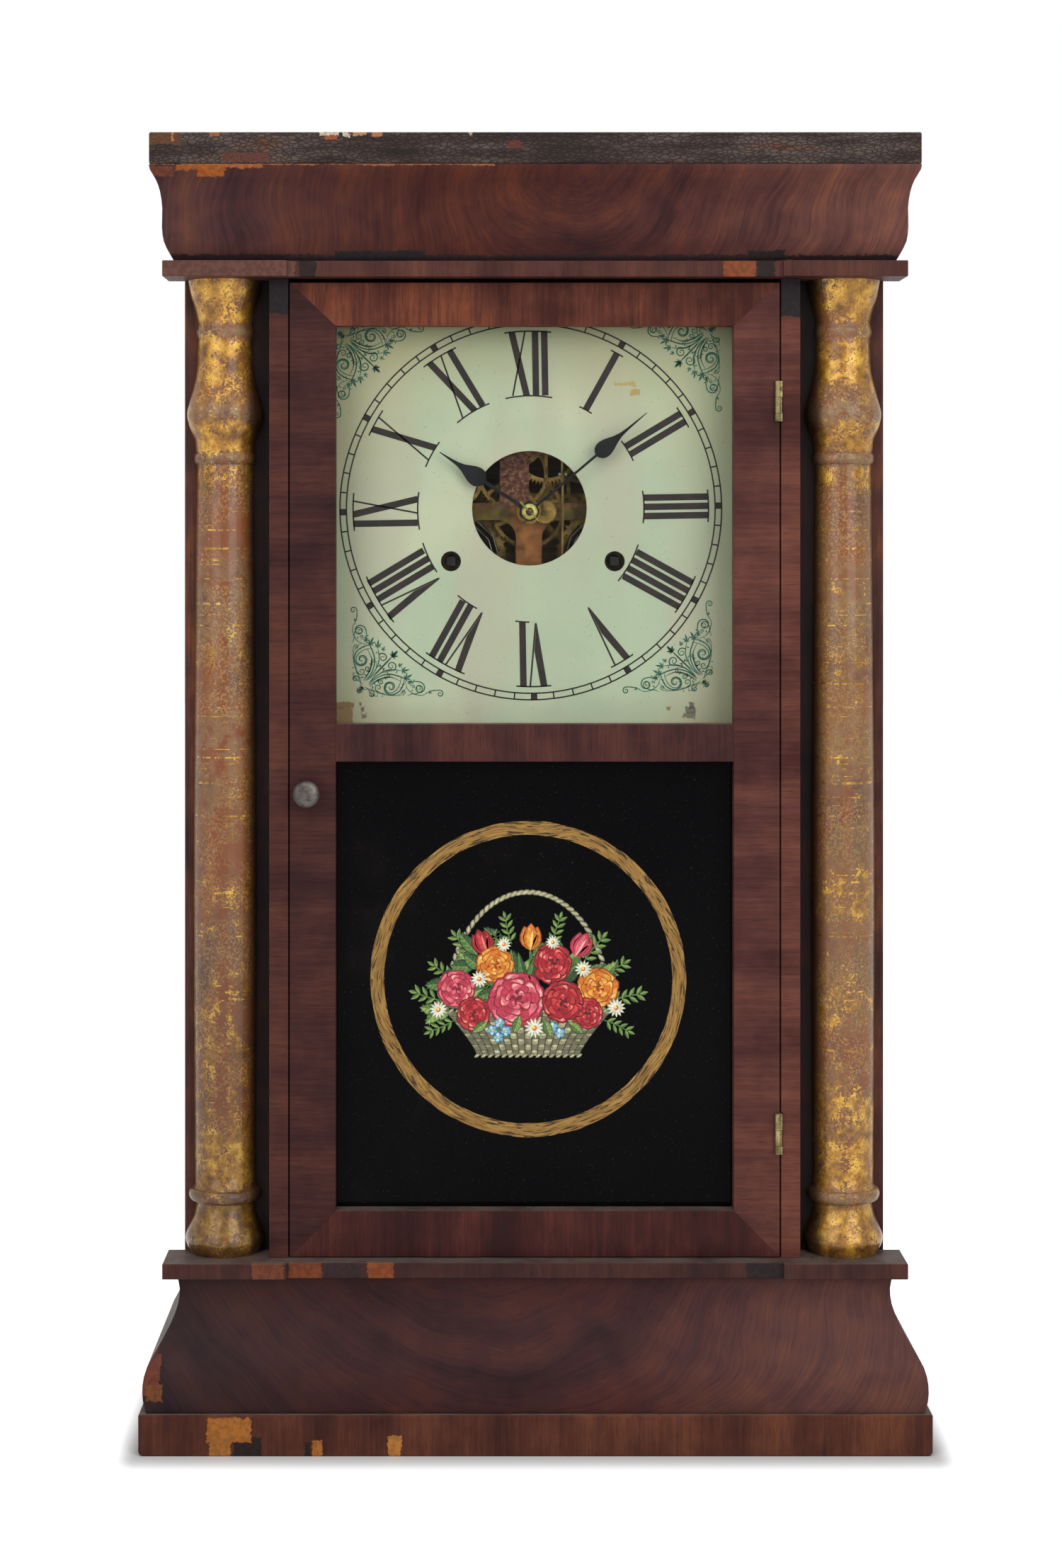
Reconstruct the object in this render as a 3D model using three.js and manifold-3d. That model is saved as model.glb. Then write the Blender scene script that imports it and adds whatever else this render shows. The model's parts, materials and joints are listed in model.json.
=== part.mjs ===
// Shelf clock of the column and cornice kind, with a spring-driven movement that strikes the hours.
// Millimetres, +Z up. The front faces -Y, and the origin is the middle of the surface that it stands on.
import * as THREE from 'three';
import { mergeVertices } from 'three/addons/utils/BufferGeometryUtils.js';
import Module from 'manifold-3d';

const wasm = await Module();
wasm.setup();

// Heights of the case, from the ground up
const plinthHeight = 20;
const baseMouldingHeight = 62.3;
const lowerShelfThickness = 7.5;
const columnHeight = 476.5;
const upperShelfThickness = 7.7;
const corniceHeight = 45.8;
const topBoardThickness = 15.2;

// Widths of the case, from its side walls outwards and inwards
const caseHalfWidth = 172;
const plinthOverhang = 18.5;
const shelfOverhang = 8;
const topOverhang = 13.7;
const sideThickness = 12;
const sideShoulder = 6;
const columnBayWidth = 42.7;
const jambWidth = 9.4;
const doorSideGap = 0.7;

// Depths, measured backwards from the front of the plinth
const movementBoardThickness = 10.5;
const shelfSetback = 9;
const shelfStep = 2.5;
const columnPlaneSetback = 37;
const columnBoardThickness = 8;
const jambSetback = 20.7;
const jambDepth = 34.3;
const backInset = 2;
const backThickness = 10;
const plinthRounding = 1.5;

// Columns
const columnInset = 20;
const footBulbRadius = 19.5;
const capitalRadius = 18.8;
const shaftRadius = 15.4;
const columnFacets = 24;

// Door
const doorThickness = 16;
const doorTopGap = 2.1;
const doorFootGap = 0.5;
const stileWidth = 22.3;
const topRailWidth = 20.9;
const middleRailWidth = 18.3;
const bottomRailWidth = 22.4;
const dialPaneHeight = 193.8;
const glassThickness = 2;
const glassSetIn = 9.3;
const rebateWidth = 5;
const glassGap = 0.3;

// Hinges, latch and knob
const hingeLength = 19.6;
const hingeUpperDrop = 59.8;
const hingeLowerDrop = 415.9;
const hingeBarrelRadius = 1.5;
const hingePinRadius = 0.7;
const hingePinGap = 0.2;
const hingeLeafThickness = 0.7;
const hingeLeafDepth = 13;
const hingeBarrelInset = 1;
const hingeBarrelLift = 1.6;
const knuckleGap = 0.2;
const knuckleShares = [0, 0.2, 0.6, 1];
const knobRise = 226.2;
const knobInset = 8.5;
const knobRadius = 6.5;
const knobReach = 11;
const spindleRadius = 1.6;
const spindleTail = 3;
const latchLength = 14;
const latchHalfWidth = 3;
const latchThickness = 1.6;
const mortiseDepth = 6.1;

// Clearances
const runningGap = 0.35;
const restGap = 0.3;
const cutOverrun = 5;

// Dial and hands
const hubX = -2.2;
const hubDrop = 113.3;
const dialRoom = 11;
const dialThickness = 1;
const dialFlangeDepth = 10;
const dialTopGap = 3.3;
const dialHeight = 225;
const apertureRadius = 28.35;
const apertureRise = 1.7;
const windingHoleRadius = 5;
const handThickness = 0.8;
const minuteHandLift = 7;
const hourHandLift = 5;
const handHubWall = 1.9;
const handTipHalfWidth = 0.35;
const minuteHandLength = 75.6;
const minuteBulbDistance = 47.5;
const minuteBulbRadius = 4.2;
const minuteStemHalfWidth = 0.6;
const hourHandLength = 53.2;
const hourBulbDistance = 31;
const hourBulbRadius = 4.8;
const hourStemHalfWidth = 0.8;
const minuteHandAngle = 49.9;
const hourHandAngle = 303.5;
const washerRadius = 4;
const washerThickness = 0.9;
const taperPinLength = 13;
const taperPinRadius = 0.5;

// Movement frame
const dialToPlate = 15;
const plateThickness = 1.5;
const windingDrop = 24.5;
const strikeWindingLeft = 38.8;
const timeWindingRight = 42.2;
const strapHalfWidth = 6.5;
const stripHalfWidth = 6.45;
const upperStripWidth = 14.5;
const plateFootDrop = 40.5;
const plateTopRise = 77;
const endBarWidth = 12;
const middleBarDrop = 4;
const frontBarRise = 4.5;
const backBarRise = 10;
const escapeBarDrop = 3.3;
const escapeBarRise = 3.2;
const headWindowRise = 47;
const windowRounding = 9;
const smallWindowRounding = 3;
const pillarRadius = 3.5;
const seatBoardMargin = 8;

// Wheel work: sizes of a tooth are its pitch circle's diameter over its tooth count
const barrelToothSize = 1.2;
const timeSecondToothSize = 1.1;
const centreToothSize = 0.62;
const thirdToothSize = 0.6;
const strikeSecondToothSize = 0.8;
const strikeThirdToothSize = 0.7;
const greatWheelTeeth = 48;
const greatPinionWires = 8;
const timeSecondTeeth = 32;
const centrePinionWires = 8;
const centreWheelTeeth = 60;
const thirdPinionWires = 6;
const thirdWheelTeeth = 60;
const escapePinionWires = 10;
const escapeTeeth = 60;
const strikeSecondTeeth = 48;
const strikeThirdPinionWires = 6;
const strikeThirdTeeth = 42;
const flyPinionWires = 6;
const cannonTeeth = 8;
const minuteWheelTeeth = 24;
const minutePinionTeeth = 7;
const hourWheelTeeth = 28;
const addendumShare = 0.2;
const dedendumShare = 0.3;
const toothRootShare = 0.42;
const wireShare = 0.13;
const wheelThickness = 1.2;
const greatWheelThickness = 2;
const rimShare = 1.15;
const arborRadius = 0.9;
const centreArborRadius = 1.2;
const pivotRadius = 0.7;
const pinionLength = 5.5;
const colletThickness = 1;
const colletWall = 0.5;
const roundFacets = 10;

// Room between the front plate and each wheel behind it, and between the parts of the deeper stack
const escapeWheelRoom = 2.5;
const thirdWheelRoom = 7.5;
const centreWheelRoom = 16.5;
const strikeThirdRoom = 14.5;
const flyRoom = 19.5;
const springRoom = 3.5;
const springToRatchet = 1.8;
const greatToSecond = 4;
const secondToPlate = 3.8;

// Lift of each part in front of the front plate
const minuteWheelLift = 3.2;
const minutePinionLift = 6.4;
const hourWheelLift = 6;
const countWheelLift = 4;
const pendulumLift = 10.5;
const windingSquareLift = 12;

// Escapement and pendulum
const escapeRight = 8.7;
const escapeRise = 31.8;
const escapeTipRadius = 18.7;
const escapeToothHeight = 2.2;
const escapeArms = 6;
const escapeArmWidth = 1.6;
const escapeRimWidth = 1.7;
const escapeWheelThickness = 1;
const vergeRight = 16.6;
const vergeRise = 54;
const palletGap = 1.3;
const palletThickness = 1.4;
const palletWidth = 3;
const crutchLength = 36;
const crutchHalfWidth = 0.6;
const forkReach = 7;
const pendulumRodRadius = 0.65;
const pendulumLength = 248;
const bobRadius = 21;
const bobThickness = 9;
const suspensionWidth = 4;
const suspensionThickness = 0.3;
const suspensionRise = 6;
const suspensionHold = 2;
const cockSize = 6;

// Springs and winding
const windingArborRadius = 3;
const mainspringWidth = 18;
const mainspringRadius = 24.5;
const mainspringStrip = 0.5;
const mainspringTurns = 8;
const mainspringSteps = 12;
const mainspringTailShare = 0.03;
const ratchetTeeth = 18;
const ratchetRadius = 8;
const ratchetToothHeight = 1.4;
const ratchetThickness = 2;
const ratchetGap = 1.2;
const clickWidth = 2.4;
const clickLength = 11;

// Strike work
const strikeSecondBearing = 95;
const strikeThirdBearing = 80;
const flyBearing = 100;
const flyRadius = 14;
const flyLength = 10;
const flyThickness = 0.6;
const countWheelRadius = 16;
const countWheelRise = 17;
const countNotchDepth = 3.5;
const countStudRadius = 1.5;
const lastHourStruck = 12;
const hammerArborRight = 19;
const hammerHeadRadius = 5;
const hammerHeadLength = 12;
const hammerRodRadius = 1;
const hammerGap = 1;
const gongStandOff = 19;
const gongRise = 85.2;
const gongInnerRadius = 9;
const gongOuterRadius = 50;
const gongWireRadius = 1.4;
const gongTurns = 4;
const gongSteps = 16;
const gongPostRadius = 4;
const gongFootRadius = 11;
const gongFootThickness = 6;

// Outlines in shares of the height and of the reach or radius that they follow
const baseOgeeShares = [
  [0, 0.81], [0.1, 0.88], [0.22, 0.89], [0.35, 0.79], [0.5, 0.5], [0.64, 0.24], [0.78, 0.06], [0.9, 0.02], [1, 0.08],
];
const corniceOgeeShares = [
  [0, 0.2], [0.08, 0.35], [0.2, 0.53], [0.35, 0.59], [0.55, 0.58], [0.72, 0.65], [0.84, 0.78], [0.94, 0.97], [1, 1],
];
const footBulbShares = [[0, 0.87], [0.25, 1], [0.55, 0.87], [0.8, 0.74], [1, 0.73]];
const capitalBellShares = [[0, 0.8], [0.25, 0.94], [0.42, 1], [0.62, 0.87], [0.8, 0.75], [1, 0.71]];
const footBulbHeight = 25.2;
const footRingHeight = 6.6;
const footRingRadius = 18;
const shaftNarrowRadius = 13.7;
const shaftFootRadius = 14.9;
const ringLift = 1.5;
const neckRingRadius = 15.1;
const neckRingHeight = 3;
const capitalBellHeight = 54;
const capitalRingHeight = 5;
const capitalRingRadius = 13.9;
const capitalNeckRadius = 13.3;
const abacusRadius = 18.2;
const capitalHeight = 90.2;

// Levels and places worked out from the sizes above
const lowerShelfZ = plinthHeight + baseMouldingHeight;
const bayFloorZ = lowerShelfZ + lowerShelfThickness;
const bayTopZ = bayFloorZ + columnHeight;
const corniceZ = bayTopZ + upperShelfThickness;
const topBoardZ = corniceZ + corniceHeight;
const innerHalfWidth = caseHalfWidth - sideThickness;
const bayEdge = caseHalfWidth - columnBayWidth;
const jambFace = bayEdge - jambWidth;
const doorHalfWidth = jambFace - doorSideGap;
const columnSpread = caseHalfWidth - columnInset;
const shaftTopRise = columnHeight - capitalHeight;
const doorTopZ = bayTopZ - doorTopGap;
const doorFootZ = bayFloorZ + doorFootGap;
const hubZ = bayTopZ - hubDrop;

// Setbacks worked out from front to back: door, glass, dial, hands, plates with the wheels between, case back
const doorBackSetback = jambSetback + doorThickness;
const glassSetback = jambSetback + glassSetIn;
const dialSetback = glassSetback + glassThickness + dialRoom;
const minuteHandSetback = dialSetback - minuteHandLift;
const hourHandSetback = dialSetback - hourHandLift;
const washerFront = minuteHandSetback - restGap - washerThickness;
const frontPlateSetback = dialSetback + dialToPlate;
const minuteWheelSetback = frontPlateSetback - minuteWheelLift;
const minutePinionSetback = frontPlateSetback - minutePinionLift;
const hourWheelSetback = frontPlateSetback - hourWheelLift;
const countWheelSetback = frontPlateSetback - countWheelLift;
const pendulumSetback = frontPlateSetback - pendulumLift;
const windingSquareSetback = frontPlateSetback - windingSquareLift;
const frontPlateBack = frontPlateSetback + plateThickness;
const escapeWheelSetback = frontPlateBack + escapeWheelRoom;
const thirdWheelSetback = frontPlateBack + thirdWheelRoom;
const centreWheelSetback = frontPlateBack + centreWheelRoom;
const strikeThirdSetback = frontPlateBack + strikeThirdRoom;
const flySetback = frontPlateBack + flyRoom;
const mainspringSetback = frontPlateBack + springRoom;
const ratchetSetback = mainspringSetback + mainspringWidth + springToRatchet;
const greatWheelSetback = ratchetSetback + ratchetThickness + ratchetGap;
const secondWheelSetback = greatWheelSetback + greatWheelThickness + greatToSecond;
const backPlateSetback = secondWheelSetback + wheelThickness + secondToPlate;
const seatBoardSetback = backPlateSetback + plateThickness;
const backBoardSetback = seatBoardSetback + movementBoardThickness;
const overallDepth = backBoardSetback + backThickness + backInset;
const gongSetback = backBoardSetback - gongStandOff;

const hub = new THREE.Vector2(hubX, hubZ);
const strikeBarrel = new THREE.Vector2(hubX - strikeWindingLeft, hubZ - windingDrop);
const timeBarrel = new THREE.Vector2(hubX + timeWindingRight, hubZ - windingDrop);
const escapePlace = new THREE.Vector2(hubX + escapeRight, hubZ + escapeRise);
const vergePlace = new THREE.Vector2(hubX + vergeRight, hubZ + vergeRise);
const pendulumPivotZ = vergePlace.y + suspensionRise;

const colours = {
  veneer: 0x5a2f28, darkWood: 0x35201c, topWood: 0x3c3029, pine: 0x9a7448, gilt: 0xb98d3a,
  glass: 0xdfe8e4, dial: 0xbcc8a6, iron: 0x2c2b2b, steel: 0x8d9094, brass: 0xb08d3f, tablet: 0x17130f,
};

const clock = new THREE.Group();

// Adds a named sub-part with its own finish
function add(name, geometry, colour, roughness, metalness) {
  const material = new THREE.MeshStandardMaterial({ color: colour, roughness, metalness });
  const mesh = new THREE.Mesh(geometry, material);
  mesh.name = name;
  clock.add(mesh);
}

const addWood = (name, geometry, colour = colours.veneer) => add(name, geometry, colour, 0.5, 0);
const addBrass = (name, geometry) => add(name, geometry, colours.brass, 0.4, 0.9);
const addSteel = (name, geometry, colour = colours.steel) => add(name, geometry, colour, 0.45, 0.9);

// Turns a distance behind the plinth's front into a place along Y
const behindFront = (setback) => setback - overallDepth / 2;

// A closed solid for joining and cutting, with its faces turned outwards
function solid(geometry) {
  const bare = geometry.index ? geometry.toNonIndexed() : geometry.clone();
  bare.deleteAttribute('normal');
  bare.deleteAttribute('uv');
  const welded = mergeVertices(bare);
  const place = welded.attributes.position.array;
  const index = welded.index.array;
  const triangles = [];
  let volume = 0;
  for (let i = 0; i < index.length; i += 3) {
    const [a, b, c] = [index[i], index[i + 1], index[i + 2]];
    if (a === b || b === c || c === a) continue;
    triangles.push(a, b, c);
    const [p, q, r] = [a, b, c].map((n) => new THREE.Vector3().fromArray(place, n * 3));
    volume += p.dot(q.cross(r));
  }
  if (volume < 0) triangles.reverse();
  return new wasm.Manifold(new wasm.Mesh({
    numProp: 3,
    vertProperties: new Float32Array(place),
    triVerts: new Uint32Array(triangles),
  }));
}

// The geometry of a joined or cut solid
function shown(manifold) {
  const mesh = manifold.getMesh();
  const geometry = new THREE.BufferGeometry();
  geometry.setAttribute('position', new THREE.BufferAttribute(new Float32Array(mesh.vertProperties), 3));
  geometry.setIndex(new THREE.BufferAttribute(new Uint32Array(mesh.triVerts), 1));
  geometry.computeVertexNormals();
  return geometry;
}

const joined = (...geometries) => geometries.map(solid).reduce((whole, next) => whole.add(next));
const cut = (whole, ...geometries) => geometries.map(solid).reduce((left, tool) => left.subtract(tool), whole);

// A plain block between two sides, two setbacks and two levels
function block(left, right, front, back, low, high) {
  const geometry = new THREE.BoxGeometry(right - left, back - front, high - low);
  return geometry.translate((left + right) / 2, behindFront((front + back) / 2), (low + high) / 2);
}

// A board cut to an outline seen from the front, from a setback backwards
function slab(shape, front, thickness, curveSegments = 3) {
  const geometry = new THREE.ExtrudeGeometry(shape, { depth: thickness, bevelEnabled: false, curveSegments });
  return geometry.rotateX(Math.PI / 2).translate(0, behindFront(front + thickness), 0);
}

// A board cut to an outline seen from above, from a level upwards
function sheet(shape, low, thickness) {
  return new THREE.ExtrudeGeometry(shape, { depth: thickness, bevelEnabled: false }).translate(0, 0, low);
}

const shapeOf = (pairs) => new THREE.Shape(pairs.map(([x, y]) => new THREE.Vector2(x, y)));

// A piece turned about an axis that runs front to back: pairs of radius and setback
function turned(pairs, place, facets = roundFacets) {
  const outline = pairs.map(([radius, setback]) => new THREE.Vector2(radius, behindFront(setback)));
  return new THREE.LatheGeometry(outline, facets).translate(place.x, 0, place.y);
}

// A plain round rod that runs front to back
function rod(place, radius, front, back, facets = roundFacets) {
  return turned([[0, front], [radius, front], [radius, back], [0, back]], place, facets);
}

const radians = THREE.MathUtils.degToRad;
const placeAt = (from, distance, bearing) =>
  new THREE.Vector2(Math.cos(bearing), Math.sin(bearing)).multiplyScalar(distance).add(from);
const bearingTo = (from, to) => Math.atan2(to.y - from.y, to.x - from.x);

// The place at two given distances from two other places, left (1) or right (-1) of the way from a to b
function meetingPlace(a, b, fromA, fromB, side) {
  const span = a.distanceTo(b);
  const along = (fromA ** 2 - fromB ** 2 + span ** 2) / (2 * span);
  const aside = Math.sqrt(fromA ** 2 - along ** 2);
  const bearing = bearingTo(a, b);
  return placeAt(placeAt(a, along, bearing), side * aside, bearing + Math.PI / 2);
}

// CASE

// A moulding that runs along both sides and the front, mitred at the corners
function mitredMoulding(outline) {
  const back = behindFront(overallDepth);
  const places = [];
  for (const { half, setback, z } of outline) {
    const front = behindFront(setback);
    places.push([-half, back, z], [-half, front, z], [half, front, z], [half, back, z]);
  }
  const runs = 4;
  const triangles = [];
  outline.forEach((_, i) => {
    const here = i * runs;
    const next = ((i + 1) % outline.length) * runs;
    for (let k = 0; k < runs - 1; k += 1) {
      triangles.push(here + k, next + k, next + k + 1, here + k, next + k + 1, here + k + 1);
    }
  });
  const face = THREE.ShapeUtils.triangulateShape(outline.map(({ half, z }) => new THREE.Vector2(half, z)), []);
  const turnedOut = THREE.ShapeUtils.area(outline.map(({ half, z }) => new THREE.Vector2(half, z))) > 0;
  for (const [a, b, c] of face) {
    const [p, q] = turnedOut ? [b, c] : [c, b];
    triangles.push(a * runs, q * runs, p * runs, a * runs + 3, p * runs + 3, q * runs + 3);
  }
  const geometry = new THREE.BufferGeometry();
  geometry.setAttribute('position', new THREE.Float32BufferAttribute(places.flat(), 3));
  geometry.setIndex(triangles);
  return shown(solid(geometry));
}

// An ogee moulding: its curve outside, and a flat inside against the side shoulders and the front boards
function ogeeMoulding(shares, low, height, reach) {
  const wallSetback = shelfSetback + shelfOverhang;
  const curve = new THREE.SplineCurve(shares.map(([up, out]) => new THREE.Vector2(up, out)));
  const outline = curve.getPoints(16).map((p) => ({
    half: caseHalfWidth + p.y * reach,
    setback: wallSetback - p.y * reach,
    z: low + Math.min(p.x, 1) * height,
  }));
  const inner = { half: caseHalfWidth - sideShoulder, setback: columnPlaneSetback };
  outline.push({ ...inner, z: low + height }, { ...inner, z: low });
  return mitredMoulding(outline);
}

// The plinth, with its long lower edges taken off
function plinthBoard() {
  const half = caseHalfWidth + plinthOverhang;
  const profile = shapeOf([
    [-half, plinthHeight], [-half, plinthRounding], [-half + plinthRounding, 0],
    [half - plinthRounding, 0], [half, plinthRounding], [half, plinthHeight],
  ]);
  return slab(profile, 0, overallDepth);
}

// A shelf whose ends over the columns stand a little in front of its middle
function steppedShelf(low, thickness) {
  const half = caseHalfWidth + shelfOverhang;
  const [front, back] = [behindFront(shelfSetback), behindFront(columnPlaneSetback)];
  const step = front + shelfStep;
  return sheet(shapeOf([
    [-half, front], [-jambFace, front], [-jambFace, step], [jambFace, step],
    [jambFace, front], [half, front], [half, back], [-half, back],
  ]), low, thickness);
}

// A side wall: full height, thinner behind the mouldings
function caseSide(side) {
  const outer = caseHalfWidth;
  const shoulder = caseHalfWidth - sideShoulder;
  const outline = [
    [innerHalfWidth, plinthHeight], [shoulder, plinthHeight], [shoulder, lowerShelfZ], [outer, lowerShelfZ],
    [outer, corniceZ], [shoulder, corniceZ], [shoulder, topBoardZ], [innerHalfWidth, topBoardZ],
  ];
  return slab(shapeOf(outline.map(([x, z]) => [side * x, z])), columnPlaneSetback, overallDepth - columnPlaneSetback);
}

// One half-round column with its turned foot, rings and capital, against the plane of the column boards
function halfColumn(side) {
  const curved = (shares, low, height, radius) => new THREE.SplineCurve(
    shares.map(([up, out]) => new THREE.Vector2(out * radius, low + up * height)),
  ).getPoints(shares.length + 1);
  const ring = (radius, low, height) => [
    new THREE.Vector2(radius - ringLift, low),
    new THREE.Vector2(radius, low + height / 4),
    new THREE.Vector2(radius, low + (height * 3) / 4),
    new THREE.Vector2(radius - ringLift, low + height),
  ];
  const shaftFoot = footBulbHeight + footRingHeight;
  const shaftMiddle = (shaftFoot + shaftTopRise) / 2;
  const bellFoot = shaftTopRise + neckRingHeight;
  const bellTop = bellFoot + capitalBellHeight;
  const outline = [
    new THREE.Vector2(0, 0),
    ...curved(footBulbShares, 0, footBulbHeight, footBulbRadius),
    ...ring(footRingRadius, footBulbHeight, footRingHeight),
    new THREE.Vector2(shaftFootRadius, shaftFoot),
    new THREE.Vector2(shaftRadius, shaftMiddle),
    new THREE.Vector2(shaftNarrowRadius, shaftTopRise),
    ...ring(neckRingRadius, shaftTopRise, neckRingHeight),
    ...curved(capitalBellShares, bellFoot, capitalBellHeight, capitalRadius),
    ...ring(capitalRingRadius, bellTop + ringLift, capitalRingHeight),
    new THREE.Vector2(capitalNeckRadius, bellTop + capitalRingHeight + ringLift * 2),
    new THREE.Vector2(abacusRadius, columnHeight),
    new THREE.Vector2(0, columnHeight),
  ];
  const round = new THREE.LatheGeometry(outline, columnFacets).rotateX(Math.PI / 2);
  round.translate(side * columnSpread, behindFront(columnPlaneSetback), bayFloorZ);
  const reach = footBulbRadius + cutOverrun;
  const wall = block(
    side * columnSpread - reach, side * columnSpread + reach,
    columnPlaneSetback, columnPlaneSetback + reach,
    bayFloorZ - cutOverrun, bayTopZ + cutOverrun,
  );
  return shown(cut(solid(round), wall));
}

// A strip beside the door; the left one has a mortise for the latch
function doorJamb(side) {
  const [near, far] = [side * jambFace, side * bayEdge].sort((a, b) => a - b);
  const back = jambSetback + jambDepth;
  const strip = block(near, far, jambSetback, back, bayFloorZ, bayTopZ);
  if (side > 0) return shown(cut(solid(strip), ...hingeLevels.map((level) => hingeRecess(level))));
  const inner = -jambFace;
  const mortise = block(
    inner - mortiseDepth, inner + cutOverrun,
    doorBackSetback - restGap, doorBackSetback + latchThickness + restGap * 3,
    knobZ - latchLength + latchHalfWidth - restGap, knobZ + latchHalfWidth + restGap * 3,
  );
  return shown(cut(solid(strip), mortise));
}

function buildCase() {
  addWood('plinth', plinthBoard());
  addWood('base_moulding', ogeeMoulding(baseOgeeShares, plinthHeight, baseMouldingHeight, plinthOverhang));
  addWood('lower_shelf', steppedShelf(lowerShelfZ, lowerShelfThickness));
  addWood('case_floor', block(
    -innerHalfWidth, innerHalfWidth, columnPlaneSetback, backBoardSetback, lowerShelfZ, bayFloorZ,
  ), colours.pine);
  addWood('upper_shelf', steppedShelf(bayTopZ, upperShelfThickness));
  addWood('cornice_moulding', ogeeMoulding(corniceOgeeShares, corniceZ, corniceHeight, topOverhang), colours.darkWood);
  const topHalf = caseHalfWidth + topOverhang;
  const topFront = shelfSetback + shelfOverhang - topOverhang;
  addWood('top_board', block(-topHalf, topHalf, topFront, overallDepth, topBoardZ, topBoardZ + topBoardThickness), colours.topWood);
  addWood('back_board', block(
    -innerHalfWidth, innerHalfWidth, backBoardSetback, backBoardSetback + backThickness, plinthHeight, topBoardZ,
  ), colours.pine);
  for (const [side, word] of [[-1, 'left'], [1, 'right']]) {
    const [near, far] = [side * bayEdge, side * innerHalfWidth].sort((a, b) => a - b);
    const boardBack = columnPlaneSetback + columnBoardThickness;
    addWood(`case_side_${word}`, caseSide(side));
    addWood(`column_board_${word}`, block(near, far, columnPlaneSetback, boardBack, bayFloorZ, bayTopZ), colours.darkWood);
    addWood(`door_jamb_${word}`, doorJamb(side));
    add(`column_${word}`, halfColumn(side), colours.gilt, 0.45, 0.6);
  }
}

// DOOR

const openingHalfWidth = doorHalfWidth - stileWidth;
const dialPaneTopZ = doorTopZ - topRailWidth;
const dialPaneFootZ = dialPaneTopZ - dialPaneHeight;
const tabletTopZ = dialPaneFootZ - middleRailWidth;
const tabletFootZ = doorFootZ + bottomRailWidth;
const knobZ = bayFloorZ + knobRise;
const knobPlace = new THREE.Vector2(-doorHalfWidth + knobInset, knobZ);
const hingeX = doorHalfWidth - hingeBarrelInset;
const hingeSetback = jambSetback - hingeBarrelLift;
const hingeLevels = [hingeUpperDrop, hingeLowerDrop].map((drop) => bayTopZ - drop);

// The room behind the frame's inner edges for one pane
function paneRecess(low, high) {
  const half = openingHalfWidth + rebateWidth;
  return block(-half, half, glassSetback, doorBackSetback + cutOverrun, low - rebateWidth, high + rebateWidth);
}

// The room that a hinge's leaves take out of the door's edge and the jamb's face
function hingeRecess(centreZ) {
  const half = hingeLength / 2 + restGap;
  const seam = (doorHalfWidth + jambFace) / 2;
  const reach = doorSideGap / 2 + hingeLeafThickness;
  return block(
    seam - reach, seam + reach, jambSetback - cutOverrun, hingeSetback + hingeLeafDepth + restGap,
    centreZ - half, centreZ + half,
  );
}

// One piece of the door frame: an outline from the front, with both pane rebates taken out behind
function framePiece(pairs, ...more) {
  const piece = solid(slab(shapeOf(pairs), jambSetback, doorThickness));
  return shown(cut(piece, paneRecess(tabletFootZ, tabletTopZ), paneRecess(dialPaneFootZ, dialPaneTopZ), ...more));
}

function paneOfGlass(low, high) {
  const half = openingHalfWidth + rebateWidth - glassGap;
  const front = glassSetback + glassGap / 3;
  return block(-half, half, front, front + glassThickness, low - rebateWidth + glassGap, high + rebateWidth - glassGap);
}

// A hinge leaf with its knuckles: the door's has the middle knuckle, the jamb's the outer two
function hingeLeaf(centreZ, onDoor) {
  const foot = centreZ - hingeLength / 2;
  const seam = (doorHalfWidth + jambFace) / 2;
  const seamGap = knuckleGap / 2;
  const leafFront = hingeSetback + hingePinRadius;
  const leafBack = hingeSetback + hingeLeafDepth;
  const plate = onDoor
    ? block(seam - seamGap - hingeLeafThickness, seam - seamGap, jambSetback, leafBack, foot, foot + hingeLength)
    : block(seam + seamGap, seam + seamGap + hingeLeafThickness, jambSetback, leafBack, foot, foot + hingeLength);
  const ends = onDoor ? [[1, 2]] : [[0, 1], [2, 3]];
  const pieces = ends.flatMap(([from, to]) => {
    const low = foot + knuckleShares[from] * hingeLength + (from ? knuckleGap / 2 : 0);
    const high = foot + knuckleShares[to] * hingeLength - (to < 3 ? knuckleGap / 2 : 0);
    const barrel = new THREE.CylinderGeometry(hingeBarrelRadius, hingeBarrelRadius, high - low, roundFacets);
    barrel.rotateX(Math.PI / 2).translate(hingeX, behindFront(hingeSetback), (low + high) / 2);
    const arm = onDoor
      ? block(seam - seamGap - hingeLeafThickness, seam - seamGap, leafFront, jambSetback + hingeLeafThickness, low, high)
      : block(hingeX, seam + seamGap + hingeLeafThickness, hingeSetback - hingePinRadius, leafFront, low, high);
    const turn = block(seam + seamGap, seam + seamGap + hingeLeafThickness, hingeSetback, jambSetback + hingeLeafThickness, low, high);
    return onDoor ? [barrel, arm] : [barrel, arm, turn];
  });
  const bore = new THREE.CylinderGeometry(
    hingePinRadius + hingePinGap, hingePinRadius + hingePinGap, hingeLength + cutOverrun, roundFacets,
  );
  bore.rotateX(Math.PI / 2).translate(hingeX, behindFront(hingeSetback), centreZ);
  return shown(cut(joined(plate, ...pieces), bore));
}

function hingePin(centreZ) {
  const pin = new THREE.CylinderGeometry(hingePinRadius, hingePinRadius, hingeLength, roundFacets);
  return pin.rotateX(Math.PI / 2).translate(hingeX, behindFront(hingeSetback), centreZ);
}

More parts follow.
